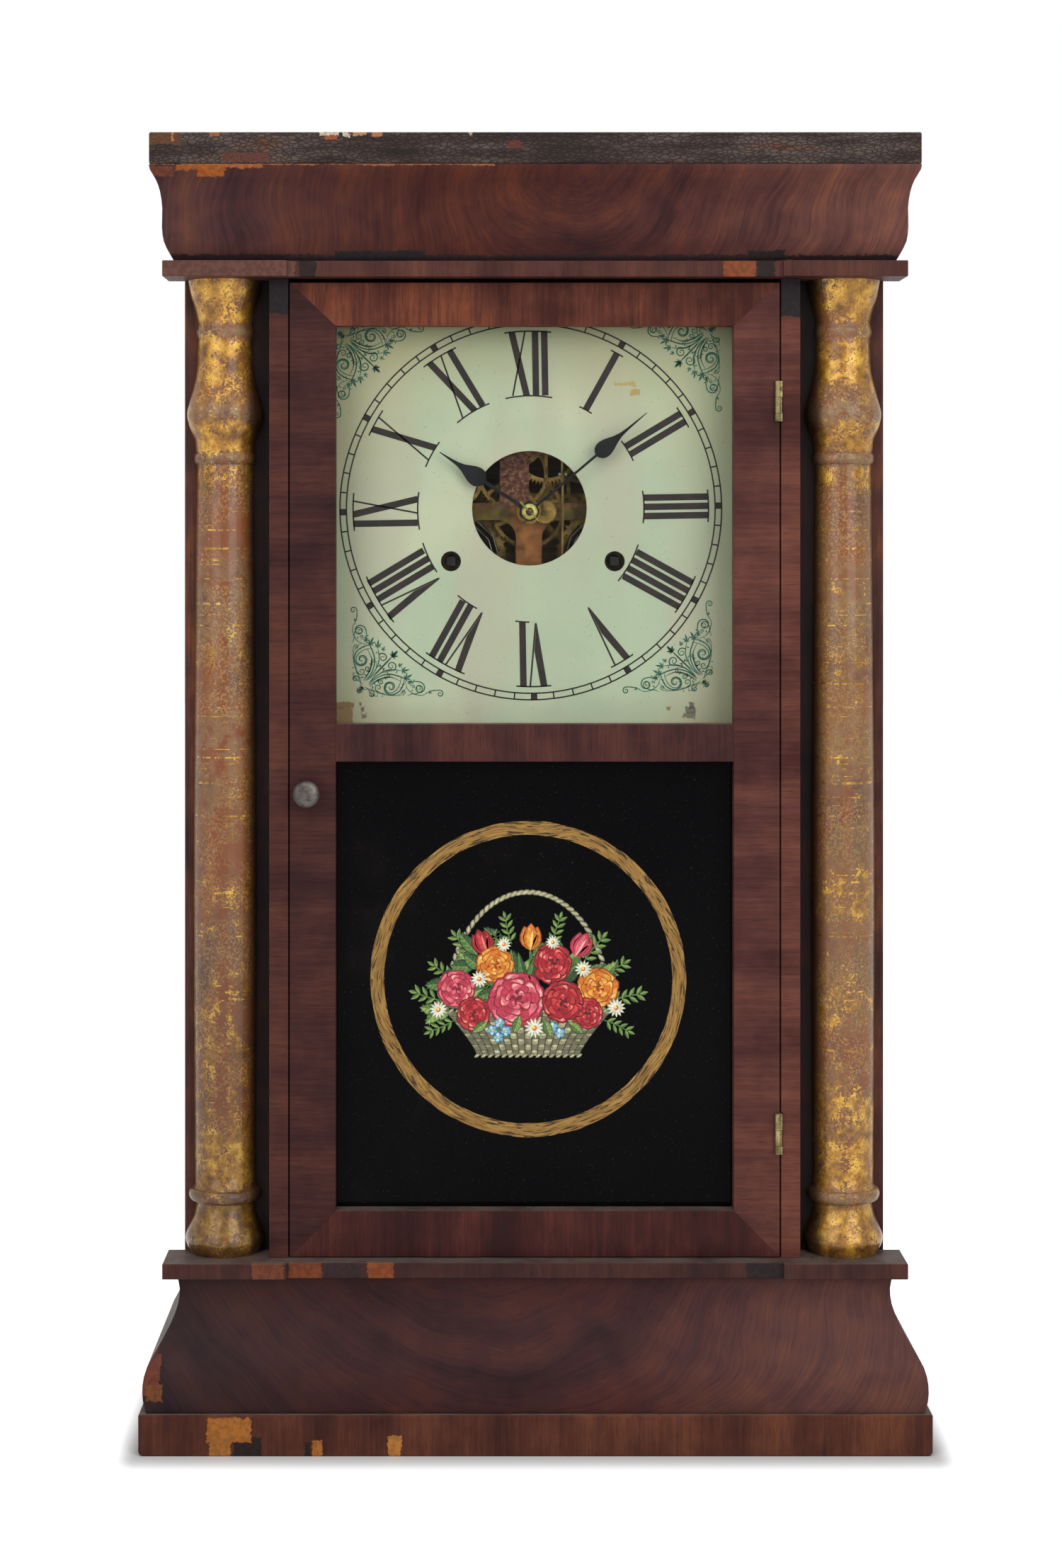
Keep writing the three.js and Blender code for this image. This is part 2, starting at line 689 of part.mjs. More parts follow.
// The turned knob, with a dimple in its face, and the spindle that carries the latch
function doorKnob() {
  const face = jambSetback;
  const tip = face - knobReach;
  const tail = doorBackSetback + spindleTail;
  return turned([
    [0, tip + knobRadius / 8], [knobRadius / 4, tip + knobRadius / 16], [knobRadius / 2.5, tip],
    [knobRadius * 0.8, tip + knobRadius / 10], [knobRadius, tip + knobRadius / 2.5],
    [knobRadius, tip + knobRadius / 1.7], [knobRadius * 0.72, tip + knobRadius],
    [knobRadius / 2, face - knobReach / 4], [knobRadius * 0.55, face - restGap],
    [spindleRadius, face - restGap], [spindleRadius, tail], [0, tail],
  ], knobPlace, 14);
}

// The brass tongue behind the stile, hanging down while the door is free
function latchTongue() {
  const { x, y: z } = knobPlace;
  const tongue = new THREE.Shape();
  tongue.moveTo(x + latchHalfWidth, z);
  tongue.absarc(x, z, latchHalfWidth, 0, Math.PI, false);
  tongue.lineTo(x - latchHalfWidth / 2, z - latchLength);
  tongue.lineTo(x + latchHalfWidth / 2, z - latchLength);
  tongue.closePath();
  const front = doorBackSetback + restGap;
  const hole = rod(knobPlace, spindleRadius + restGap / 3, front - cutOverrun, front + cutOverrun);
  return shown(cut(solid(slab(tongue, front, latchThickness)), hole));
}

function buildDoor() {
  const [inner, outer] = [openingHalfWidth, doorHalfWidth];
  const spindleHole = rod(knobPlace, spindleRadius + runningGap, jambSetback - cutOverrun, doorBackSetback + cutOverrun);
  const stile = (side) => [
    [side * inner, tabletFootZ], [side * outer, doorFootZ], [side * outer, doorTopZ], [side * inner, dialPaneTopZ],
  ];
  addWood('door_stile_left', framePiece(stile(-1), spindleHole));
  addWood('door_stile_right', framePiece(stile(1), ...hingeLevels.map((level) => hingeRecess(level))));
  addWood('door_rail_top', framePiece([[-outer, doorTopZ], [-inner, dialPaneTopZ], [inner, dialPaneTopZ], [outer, doorTopZ]]));
  addWood('door_rail_middle', framePiece([
    [-inner, tabletTopZ], [inner, tabletTopZ], [inner, dialPaneFootZ], [-inner, dialPaneFootZ],
  ]));
  addWood('door_rail_bottom', framePiece([[-outer, doorFootZ], [outer, doorFootZ], [inner, tabletFootZ], [-inner, tabletFootZ]]));
  add('dial_glass', paneOfGlass(dialPaneFootZ, dialPaneTopZ), colours.glass, 0.05, 0);
  add('tablet_glass', paneOfGlass(tabletFootZ, tabletTopZ), colours.tablet, 0.1, 0);
  ['upper', 'lower'].forEach((word, i) => {
    addBrass(`hinge_${word}_door_leaf`, hingeLeaf(hingeLevels[i], true));
    addBrass(`hinge_${word}_case_leaf`, hingeLeaf(hingeLevels[i], false));
    addSteel(`hinge_${word}_pin`, hingePin(hingeLevels[i]));
  });
  addSteel('door_knob', doorKnob());
  addBrass('latch_tongue', latchTongue());
}

// DIAL AND HANDS

const circlePath = (place, radius) => {
  const path = new THREE.Path();
  path.absarc(place.x, place.y, radius, 0, Math.PI * 2, false);
  return path;
};

// The dial: a flat plate with the round opening, two winding holes and a bent edge along each jamb
function dialPlate() {
  const half = jambFace - restGap;
  const top = bayTopZ - dialTopGap;
  const foot = top - dialHeight;
  const face = solid(slab(shapeOf([[-half, foot], [half, foot], [half, top], [-half, top]]), dialSetback, dialThickness));
  const flanges = [-half, half - dialThickness].map((left) =>
    block(left, left + dialThickness, dialSetback, dialSetback + dialFlangeDepth, foot, top));
  const [front, back] = [dialSetback - cutOverrun, dialSetback + cutOverrun];
  const centre = new THREE.Vector2(hubX, hubZ + apertureRise);
  const opening = rod(centre, apertureRadius, front, back, 48);
  const holes = [strikeBarrel, timeBarrel].map((place) => rod(place, windingHoleRadius, front, back, 16));
  return shown(cut(flanges.map(solid).reduce((whole, next) => whole.add(next), face), opening, ...holes));
}

// A hand pointing up from the hub: a thin stem, a round bulb, and a long drawn-out tip
function clockHand(length, bulbDistance, bulbRadius, stemHalf, boreRadius, setback, angle) {
  const half = new THREE.Shape();
  const hubRadius = boreRadius + handHubWall;
  const bulbFoot = bulbDistance - bulbRadius;
  half.absarc(0, 0, hubRadius, -Math.PI / 2, Math.PI / 2 - stemHalf / hubRadius, false);
  half.lineTo(stemHalf, bulbFoot);
  half.quadraticCurveTo(bulbRadius, bulbFoot, bulbRadius, bulbDistance);
  half.quadraticCurveTo(bulbRadius * 0.8, bulbDistance + bulbRadius, handTipHalfWidth * 2, bulbDistance + bulbRadius * 2);
  half.lineTo(handTipHalfWidth, length);
  const right = half.getPoints(4);
  const left = right.slice(1).reverse().map((p) => new THREE.Vector2(-p.x, p.y));
  const shape = new THREE.Shape([...right, ...left]);
  const hand = slab(shape, setback, handThickness);
  const bore = rod(new THREE.Vector2(0, 0), boreRadius, setback - cutOverrun, setback + cutOverrun);
  const geometry = shown(cut(solid(hand), bore));
  return geometry.rotateY(radians(angle)).translate(hubX, 0, hubZ);
}

// The slim pin across the tip of the minute arbor, with some room around it
function taperPin(room) {
  const pin = new THREE.CylinderGeometry(taperPinRadius + room, taperPinRadius * 0.6 + room, taperPinLength, 6);
  pin.rotateZ(Math.PI / 2).rotateY(radians(45));
  return pin.translate(hubX, behindFront(washerFront - taperPinRadius / 3), hubZ);
}

// The domed washer that holds the minute hand, with its taper pin through the arbor
function washerAndPin() {
  const front = washerFront;
  const washer = turned([
    [centreTipRadius + restGap, front], [washerRadius * 0.7, front], [washerRadius, front + washerThickness],
    [centreTipRadius + restGap, front + washerThickness], [centreTipRadius + restGap, front],
  ], hub, 14);
  return shown(joined(washer, taperPin(0)));
}

function buildDial() {
  add('dial_plate', dialPlate(), colours.dial, 0.6, 0);
  addSteel('minute_hand', clockHand(
    minuteHandLength, minuteBulbDistance, minuteBulbRadius, minuteStemHalfWidth,
    centreTipRadius + restGap / 2, minuteHandSetback, minuteHandAngle,
  ), colours.iron);
  addSteel('hour_hand', clockHand(
    hourHandLength, hourBulbDistance, hourBulbRadius, hourStemHalfWidth,
    hourPipeRadius + restGap, hourHandSetback, hourHandAngle,
  ), colours.iron);
  addBrass('hand_washer_and_pin', washerAndPin());
}

// WHEELS

const pitchRadius = (teeth, toothSize) => (teeth * toothSize) / 2;
const meshDistance = (wheelTeeth, pinionTeeth, toothSize) => pitchRadius(wheelTeeth + pinionTeeth, toothSize);

const timeSecond = meetingPlace(
  timeBarrel, hub,
  meshDistance(greatWheelTeeth, greatPinionWires, barrelToothSize),
  meshDistance(timeSecondTeeth, centrePinionWires, timeSecondToothSize), -1,
);
const thirdPlace = meetingPlace(
  hub, escapePlace,
  meshDistance(centreWheelTeeth, thirdPinionWires, centreToothSize),
  meshDistance(thirdWheelTeeth, escapePinionWires, thirdToothSize), 1,
);
const strikeSecond = placeAt(
  strikeBarrel, meshDistance(greatWheelTeeth, greatPinionWires, barrelToothSize), radians(strikeSecondBearing),
);
const strikeThird = placeAt(
  strikeSecond, meshDistance(strikeSecondTeeth, strikeThirdPinionWires, strikeSecondToothSize), radians(strikeThirdBearing),
);
const flyPlace = placeAt(
  strikeThird, meshDistance(strikeThirdTeeth, flyPinionWires, strikeThirdToothSize), radians(flyBearing),
);

// Motion work in front of the plate: both pairs have the same distance between their centres
const cannonToothSize = 0.5;
const minuteWheelBearing = 0;
const cannonPipeRadius = 1.6;
const centreTipRadius = 1.2;
const hourPipeRadius = 2.8;
const hourPipeBore = 2;
const minuteDistance = meshDistance(cannonTeeth, minuteWheelTeeth, cannonToothSize);
const hourToothSize = (2 * minuteDistance) / (minutePinionTeeth + hourWheelTeeth);
const minuteWheelPlace = placeAt(hub, minuteDistance, radians(minuteWheelBearing));
const minuteStudRadius = 0.6;

// The outline of a wheel with slender teeth, one of them at the first bearing
function toothedShape(teeth, toothSize, firstBearing) {
  const radius = pitchRadius(teeth, toothSize);
  const pitch = Math.PI * toothSize;
  const step = (Math.PI * 2) / teeth;
  const tip = radius + addendumShare * pitch;
  const root = radius - dedendumShare * pitch;
  const points = [];
  for (let k = 0; k < teeth; k += 1) {
    const middle = firstBearing + k * step;
    for (const [share, out] of [[-toothRootShare, root], [0, tip], [toothRootShare, root]]) {
      points.push(placeAt(new THREE.Vector2(0, 0), out, middle + (share * step) / 2));
    }
  }
  return new THREE.Shape(points);
}

// The openings between a wheel's arms
function armOpenings(arms, inner, outer, armWidth, firstBearing) {
  const openings = [];
  for (let k = 0; k < arms; k += 1) {
    const from = firstBearing + (k * Math.PI * 2) / arms;
    const to = from + (Math.PI * 2) / arms;
    const [outerTurn, innerTurn] = [armWidth / 2 / outer, armWidth / 2 / inner];
    const path = new THREE.Path();
    path.absarc(0, 0, outer, from + outerTurn, to - outerTurn, false);
    path.absarc(0, 0, inner, to - innerTurn, from + innerTurn, true);
    path.closePath();
    openings.push(path);
  }
  return openings;
}

// A crossed-out brass wheel
function wheelDisc(place, teeth, toothSize, firstBearing, front, thickness = wheelThickness, arms = 4) {
  const shape = toothedShape(teeth, toothSize, firstBearing);
  const pitch = Math.PI * toothSize;
  const outer = pitchRadius(teeth, toothSize) - rimShare * Math.max(pitch, thickness);
  const inner = outer / 3;
  shape.holes.push(...armOpenings(arms, inner, outer, thickness * 1.6, firstBearing));
  return slab(shape, front, thickness).translate(place.x, 0, place.y);
}

// A lantern pinion: two collets and a ring of wires between them, with a gap at the given bearing
function lanternPinion(place, wires, toothSize, gapBearing, middle) {
  const radius = pitchRadius(wires, toothSize);
  const wireRadius = wireShare * Math.PI * toothSize;
  const reach = radius + wireRadius + colletWall;
  const [front, back] = [middle - pinionLength / 2, middle + pinionLength / 2];
  const pieces = [rod(place, reach, front, front + colletThickness), rod(place, reach, back - colletThickness, back)];
  for (let k = 0; k < wires; k += 1) {
    const bearing = gapBearing + ((k + 0.5) * Math.PI * 2) / wires;
    pieces.push(rod(placeAt(place, radius, bearing), wireRadius, front + colletThickness / 2, back - colletThickness / 2, 4));
  }
  return pieces;
}

// An arbor between the plates, with a thinner pivot in each
function arbor(place, radius = arborRadius) {
  const front = frontPlateBack + restGap;
  const back = backPlateSetback - restGap;
  return turned([
    [0, frontPlateSetback - restGap], [pivotRadius, frontPlateSetback - restGap], [pivotRadius, front], [radius, front],
    [radius, back], [pivotRadius, back], [pivotRadius, seatBoardSetback - restGap], [0, seatBoardSetback - restGap],
  ], place, 6);
}

const middleOf = (setback, thickness = wheelThickness) => setback + thickness / 2;

function greatWheel(place, follower) {
  const bearing = bearingTo(place, follower);
  const wheel = wheelDisc(place, greatWheelTeeth, barrelToothSize, bearing, greatWheelSetback, greatWheelThickness);
  const bore = rod(place, windingArborRadius + runningGap, greatWheelSetback - cutOverrun, greatWheelSetback + cutOverrun, 12);
  const clickFront = ratchetSetback;
  const tip = ratchetRadius + restGap;
  const click = shapeOf([
    [tip, -clickWidth / 3], [tip + clickWidth, -clickWidth], [tip + clickWidth * 1.4, clickLength],
    [tip + clickWidth * 0.4, clickLength],
  ]);
  const pawl = slab(click, clickFront, greatWheelSetback - clickFront + greatWheelThickness / 2);
  pawl.rotateY(-bearing).translate(place.x, 0, place.y);
  return shown(cut(solid(wheel).add(solid(pawl)), bore));
}

// The arbor that the key turns, with its square end and the ratchet wheel fixed on it
function windingArbor(place) {
  const collarFront = ratchetSetback;
  const front = frontPlateSetback - restGap;
  const back = seatBoardSetback - restGap;
  const shaft = rod(place, windingArborRadius, front, back, 12);
  const halfSquare = windingArborRadius / Math.SQRT2;
  const square = block(
    place.x - halfSquare, place.x + halfSquare, windingSquareSetback, front + restGap,
    place.y - halfSquare, place.y + halfSquare,
  );
  const points = [];
  for (let k = 0; k < ratchetTeeth; k += 1) {
    const bearing = (k * Math.PI * 2) / ratchetTeeth;
    points.push(placeAt(new THREE.Vector2(0, 0), ratchetRadius, bearing));
    points.push(placeAt(new THREE.Vector2(0, 0), ratchetRadius - ratchetToothHeight, bearing + Math.PI / ratchetTeeth / 4));
  }
  const ratchet = slab(new THREE.Shape(points), collarFront, ratchetThickness).translate(place.x, 0, place.y);
  return shown(joined(shaft, square, ratchet));
}

// A mainspring: one flat strip wound from beside the arbor outwards, with its tail led to the pillar below
function mainspring(place, side) {
  const steps = mainspringTurns * mainspringSteps;
  const first = windingArborRadius + restGap + mainspringStrip / 2;
  const tailReach = plateFootDrop - endBarWidth / 2 - pillarRadius - restGap - mainspringStrip;
  const tailStart = 1 - mainspringTailShare;
  const centreLine = [];
  for (let k = 0; k <= steps; k += 1) {
    const along = k / steps;
    const wound = Math.min(along / tailStart, 1);
    const tail = Math.max(along - tailStart, 0) / mainspringTailShare;
    const radius = first + (mainspringRadius - first) * wound + (tailReach - mainspringRadius) * tail;
    const bearing = -Math.PI / 2 - side * (steps - k) * ((Math.PI * 2) / mainspringSteps);
    centreLine.push({ radius, bearing });
  }
  measureSpring(centreLine);
  const edge = (out) => centreLine.map(({ radius, bearing }) => placeAt(place, radius + (out * mainspringStrip) / 2, bearing));
  return slab(new THREE.Shape([...edge(1), ...edge(-1).reverse()]), mainspringSetback, mainspringWidth);
}

// Prints the least gap between one turn of a spiral and the next, and stops if it is too small
function measureSpring(centreLine) {
  const places = centreLine.map(({ radius, bearing }) => placeAt(new THREE.Vector2(0, 0), radius, bearing));
  let least = Infinity;
  places.forEach((p, i) => {
    for (let k = i + Math.floor(mainspringSteps / 2); k < places.length; k += 1) least = Math.min(least, p.distanceTo(places[k]));
  });
  const gap = least * Math.cos(Math.PI / mainspringSteps) - mainspringStrip;
  console.log(`least gap of a mainspring to itself: ${gap.toFixed(2)} mm`);
}

// The minute arbor: pinion and centre wheel between the plates, cannon pinion and pipe in front
function centreWheel() {
  const middle = middleOf(secondWheelSetback);
  const cannonFront = minuteWheelSetback - restGap;
  const cannon = slab(
    toothedShape(cannonTeeth, cannonToothSize, radians(minuteWheelBearing)), cannonFront, wheelThickness + restGap * 2,
  ).translate(hub.x, 0, hub.y);
  const tip = washerFront - taperPinRadius * 2;
  const pipe = turned([
    [0, tip], [centreTipRadius, tip], [centreTipRadius, minuteHandSetback + handThickness + restGap / 3],
    [cannonPipeRadius, minuteHandSetback + handThickness + restGap / 3], [cannonPipeRadius, frontPlateSetback - restGap],
    [pivotRadius, frontPlateSetback - restGap], [pivotRadius, frontPlateSetback + restGap], [0, frontPlateSetback + restGap],
  ], hub, 10);
  const whole = joined(
    arbor(hub, centreArborRadius), cannon, pipe,
    wheelDisc(hub, centreWheelTeeth, centreToothSize, bearingTo(hub, thirdPlace), centreWheelSetback),
    ...lanternPinion(hub, centrePinionWires, timeSecondToothSize, bearingTo(hub, timeSecond), middle),
  );
  return shown(cut(whole, taperPin(restGap / 2)));
}

// An arbor with the pinion that drives it and the wheel that it drives the next with
function trainWheel({ place, wires, drivenBy, driverSize, driverMiddle, teeth, toothSize, next, setback }) {
  return shown(joined(
    arbor(place),
    ...lanternPinion(place, wires, driverSize, bearingTo(place, drivenBy), driverMiddle),
    wheelDisc(place, teeth, toothSize, bearingTo(place, next), setback),
  ));
}

// The escape wheel: fine hooked teeth on a thin rim, six arms with one straight down
function escapeWheel() {
  const root = escapeTipRadius - escapeToothHeight;
  const step = (Math.PI * 2) / escapeTeeth;
  const points = [];
  for (let k = 0; k < escapeTeeth; k += 1) {
    const bearing = k * step;
    points.push(placeAt(new THREE.Vector2(0, 0), root, bearing));
    points.push(placeAt(new THREE.Vector2(0, 0), escapeTipRadius, bearing + step * 0.35));
    points.push(placeAt(new THREE.Vector2(0, 0), root, bearing + step * 0.45));
  }
  const shape = new THREE.Shape(points);
  const outer = root - escapeRimWidth;
  shape.holes.push(...armOpenings(escapeArms, outer / 4, outer, escapeArmWidth, -Math.PI / 2));
  const disc = slab(shape, escapeWheelSetback, escapeWheelThickness).translate(escapePlace.x, 0, escapePlace.y);
  return shown(joined(
    arbor(escapePlace), disc,
    ...lanternPinion(escapePlace, escapePinionWires, thirdToothSize, bearingTo(escapePlace, thirdPlace), middleOf(thirdWheelSetback)),
  ));
}

// The minute wheel and its pinion, turning on a stud of the front plate
function minuteWheel() {
  const back = bearingTo(minuteWheelPlace, hub);
  const halfStep = Math.PI / minuteWheelTeeth;
  const disc = slab(toothedShape(minuteWheelTeeth, cannonToothSize, back + halfStep), minuteWheelSetback, wheelThickness);
  const pinion = slab(
    toothedShape(minutePinionTeeth, hourToothSize, back), minutePinionSetback, minuteWheelSetback - minutePinionSetback + restGap,
  );
  const bore = rod(new THREE.Vector2(0, 0), minuteStudRadius + restGap / 2, minutePinionSetback - cutOverrun, minuteWheelSetback + cutOverrun, 8);
  return shown(cut(joined(disc, pinion), bore)).translate(minuteWheelPlace.x, 0, minuteWheelPlace.y);
}

// The hour wheel, on the pipe that carries the hour hand
function hourWheel() {
  const halfStep = Math.PI / hourWheelTeeth;
  const disc = slab(toothedShape(hourWheelTeeth, hourToothSize, radians(minuteWheelBearing) + halfStep), hourWheelSetback, wheelThickness);
  const pipe = rod(new THREE.Vector2(0, 0), hourPipeRadius, hourHandSetback - restGap, hourWheelSetback + wheelThickness, 12);
  const bore = rod(new THREE.Vector2(0, 0), hourPipeBore, hourHandSetback - cutOverrun, hourWheelSetback + cutOverrun, 12);
  return shown(cut(joined(disc, pipe), bore)).translate(hub.x, 0, hub.y);
}

function buildTrains() {
  for (const [word, place, follower, side] of [
    ['time', timeBarrel, timeSecond, 1], ['strike', strikeBarrel, strikeSecond, -1],
  ]) {
    addBrass(`${word}_great_wheel`, greatWheel(place, follower));
    addSteel(`${word}_winding_arbor`, windingArbor(place));
    addSteel(`${word}_mainspring`, mainspring(place, side));
  }
  addBrass('time_second_wheel', trainWheel({
    place: timeSecond, wires: greatPinionWires, drivenBy: timeBarrel, driverSize: barrelToothSize,
    driverMiddle: middleOf(greatWheelSetback, greatWheelThickness),
    teeth: timeSecondTeeth, toothSize: timeSecondToothSize, next: hub, setback: secondWheelSetback,
  }));
  addBrass('centre_wheel', centreWheel());
  addBrass('third_wheel', trainWheel({
    place: thirdPlace, wires: thirdPinionWires, drivenBy: hub, driverSize: centreToothSize,
    driverMiddle: middleOf(centreWheelSetback),
    teeth: thirdWheelTeeth, toothSize: thirdToothSize, next: escapePlace, setback: thirdWheelSetback,
  }));
  addBrass('escape_wheel', escapeWheel());
  addBrass('minute_wheel', minuteWheel());
  addBrass('hour_wheel', hourWheel());
  addBrass('strike_second_wheel', trainWheel({
    place: strikeSecond, wires: greatPinionWires, drivenBy: strikeBarrel, driverSize: barrelToothSize,
    driverMiddle: middleOf(greatWheelSetback, greatWheelThickness),
    teeth: strikeSecondTeeth, toothSize: strikeSecondToothSize, next: strikeThird, setback: secondWheelSetback,
  }));
  addBrass('strike_third_wheel', trainWheel({
    place: strikeThird, wires: strikeThirdPinionWires, drivenBy: strikeSecond, driverSize: strikeSecondToothSize,
    driverMiddle: middleOf(secondWheelSetback),
    teeth: strikeThirdTeeth, toothSize: strikeThirdToothSize, next: flyPlace, setback: strikeThirdSetback,
  }));
}

// MOVEMENT FRAME

const pillarPlaces = [strikeBarrel, timeBarrel].flatMap(({ x }) => [
  new THREE.Vector2(x, hubZ - windingDrop - plateFootDrop + endBarWidth / 2),
  new THREE.Vector2(x, hubZ + plateTopRise - endBarWidth / 2),
]);
const hammerPlace = new THREE.Vector2(strikeBarrel.x + hammerArborRight, pillarPlaces[0].y);
const pivotPlaces = [
  timeSecond, hub, thirdPlace, escapePlace, vergePlace, strikeSecond, strikeThird, flyPlace, hammerPlace,
];

function windowPath(left, right, low, high, rounding) {
  const path = new THREE.Path();
  path.moveTo(left + rounding, low);
  path.lineTo(right - rounding, low);
  path.absarc(right - rounding, low + rounding, rounding, -Math.PI / 2, 0, false);
  path.absarc(right - rounding, high - rounding, rounding, 0, Math.PI / 2, false);
  path.absarc(left + rounding, high - rounding, rounding, Math.PI / 2, Math.PI, false);
  path.absarc(left + rounding, low + rounding, rounding, Math.PI, Math.PI * 1.5, false);
  return path;
}

// A strap plate: straps, strips and bars left round five windows, with pivot and arbor holes
function plateSolid(setback, barRise) {
  const [left, right] = [strikeBarrel.x - strapHalfWidth, timeBarrel.x + strapHalfWidth];
  const [innerLeft, innerRight] = [strikeBarrel.x + strapHalfWidth, timeBarrel.x - strapHalfWidth];
  const foot = hubZ - windingDrop - plateFootDrop;
  const top = hubZ + plateTopRise;
  const barFoot = hubZ - middleBarDrop;
  const barTop = hubZ + barRise;
  const stripRight = hubX;
  const stripLeft = stripRight - upperStripWidth;
  const escapeBar = [escapePlace.y - escapeBarDrop, escapePlace.y + escapeBarRise];
  const shape = shapeOf([[left, foot], [right, foot], [right, top], [left, top]]);
  shape.holes.push(
    windowPath(innerLeft, hubX - stripHalfWidth, foot + endBarWidth, barFoot, windowRounding),
    windowPath(hubX + stripHalfWidth, innerRight, foot + endBarWidth, barFoot, windowRounding),
    windowPath(innerLeft, stripLeft, barTop, top - endBarWidth, smallWindowRounding),
    windowPath(stripRight, innerRight, barTop, escapeBar[0], smallWindowRounding),
    windowPath(stripRight, innerRight, escapeBar[1], hubZ + headWindowRise, smallWindowRounding),
  );
  const plate = solid(slab(shape, setback, plateThickness));
  const through = [setback - cutOverrun, setback + cutOverrun];
  const pivots = pivotPlaces.map((place) => rod(place, pivotRadius + runningGap, ...through, 6));
  const barrels = [strikeBarrel, timeBarrel].map((place) => rod(place, windingArborRadius + runningGap, ...through, 12));
  return cut(plate, ...pivots, ...barrels);
}

// The front plate, with the studs of the motion work and count wheel and the cock that the pendulum hangs from
function frontPlate() {
  const stud = rod(minuteWheelPlace, minuteStudRadius, minutePinionSetback - restGap, frontPlateSetback + restGap, 8);
  const countStud = rod(countPlace, countStudRadius, countWheelSetback - restGap * 2, frontPlateSetback + restGap, 8);
  const cockFoot = pendulumPivotZ;
  const cock = block(
    vergePlace.x - cockSize / 2, vergePlace.x + cockSize / 2, pendulumSetback - cockSize / 2,
    frontPlateSetback + restGap, cockFoot, cockFoot + cockSize,
  );
  const slot = block(
    vergePlace.x - suspensionThickness, vergePlace.x + suspensionThickness,
    pendulumSetback - cockSize, pendulumSetback + cockSize / 2 - restGap,
    cockFoot - cutOverrun, cockFoot + cockSize / 2,
  );
  const pinHoles = pillarPlaces.map((place) => rod(
    place, pivotRadius * 2 + restGap / 3, frontPlateSetback - cutOverrun, frontPlateSetback + cutOverrun, 8,
  ));
  const whole = [stud, countStud, cock].map(solid).reduce((sum, next) => sum.add(next), plateSolid(frontPlateSetback, frontBarRise));
  return shown(cut(whole, slot, ...pinHoles));
}

// The back plate with its four riveted pillars, whose thin ends pass through the front plate
function backPlate() {
  const shoulder = frontPlateBack;
  const pillars = pillarPlaces.map((place) => turned([
    [0, frontPlateSetback - plateThickness], [pivotRadius * 2, frontPlateSetback - plateThickness], [pivotRadius * 2, shoulder],
    [pillarRadius, shoulder], [pillarRadius, backPlateSetback + plateThickness / 2], [0, backPlateSetback + plateThickness / 2],
  ], place, 8));
  return shown(pillars.map(solid).reduce((whole, next) => whole.add(next), plateSolid(backPlateSetback, backBarRise)));
}

function buildFrame() {
  addBrass('front_plate', frontPlate());
  addBrass('back_plate', backPlate());
  const margin = seatBoardMargin;
  addWood('movement_board', block(
    strikeBarrel.x - strapHalfWidth - margin, timeBarrel.x + strapHalfWidth + margin, seatBoardSetback, backBoardSetback,
    hubZ - windingDrop - plateFootDrop - margin, hubZ + plateTopRise + margin,
  ), colours.pine);
}

// ESCAPEMENT, STRIKING AND GONG

const countPlace = new THREE.Vector2(strikeBarrel.x, hubZ + countWheelRise);
const gongPlace = new THREE.Vector2(hubX, bayFloorZ + gongRise);

// The verge: arbor, bent strip with a pallet at each end, and the crutch that steers the pendulum
function verge() {
  const towards = bearingTo(escapePlace, vergePlace);
  const span = escapePlace.distanceTo(vergePlace);
  const palletRadius = escapeTipRadius + palletGap;
  const palletTurn = Math.acos(Math.min(palletRadius / span, 1));
  const front = escapeWheelSetback + escapeWheelThickness / 2 - palletWidth / 2;
  const tips = [1, -1].map((side) => placeAt(escapePlace, palletRadius, towards + side * palletTurn));
  const outers = [1, -1].map((side) => placeAt(escapePlace, palletRadius + palletThickness * 2, towards + side * palletTurn));
  const crown = placeAt(escapePlace, span + palletThickness * 2, towards);
  const under = placeAt(escapePlace, span - palletThickness / 2, towards);
  const strip = new THREE.Shape([tips[0], under, tips[1], outers[1], crown, outers[0]]);
  const crutchFoot = vergePlace.y - crutchLength;
  const crutchFront = frontPlateSetback - restGap - crutchHalfWidth * 2;
  const forkGap = pendulumRodRadius + restGap + crutchHalfWidth;
  const crutch = block(
    vergePlace.x - crutchHalfWidth, vergePlace.x + crutchHalfWidth, crutchFront, crutchFront + crutchHalfWidth * 2,
    crutchFoot, vergePlace.y,
  );
  const bridge = block(
    vergePlace.x - forkGap - crutchHalfWidth, vergePlace.x + forkGap + crutchHalfWidth,
    crutchFront, crutchFront + crutchHalfWidth * 2, crutchFoot, crutchFoot + crutchHalfWidth * 2,
  );
  const prongs = [-1, 1].map((side) => block(
    vergePlace.x + side * forkGap - crutchHalfWidth, vergePlace.x + side * forkGap + crutchHalfWidth,
    pendulumSetback - pendulumRodRadius - forkReach / 4, crutchFront + crutchHalfWidth,
    crutchFoot, crutchFoot + crutchHalfWidth * 2,
  ));
  const nose = rod(vergePlace, pivotRadius, crutchFront, frontPlateSetback, 8);
  return shown(joined(arbor(vergePlace), nose, slab(strip, front, palletWidth), crutch, bridge, ...prongs));
}

// The pendulum's wire rod, hung on a thin strip that bends at the mouth of the cock's slot
function pendulumRod() {
  const hookZ = vergePlace.y - suspensionRise;
  const foot = pendulumPivotZ - pendulumLength - bobRadius - restGap * 10;
  const stripTop = pendulumPivotZ + suspensionHold;
  const strip = block(
    vergePlace.x - suspensionThickness / 2, vergePlace.x + suspensionThickness / 2,
    pendulumSetback - suspensionWidth / 2, pendulumSetback + suspensionWidth / 2, hookZ - suspensionWidth / 2, stripTop,
  );
  const wire = new THREE.CylinderGeometry(pendulumRodRadius, pendulumRodRadius, hookZ - foot, 6).rotateX(Math.PI / 2);
  wire.translate(vergePlace.x, behindFront(pendulumSetback), (hookZ + foot) / 2);
  return shown(joined(strip, wire));
}

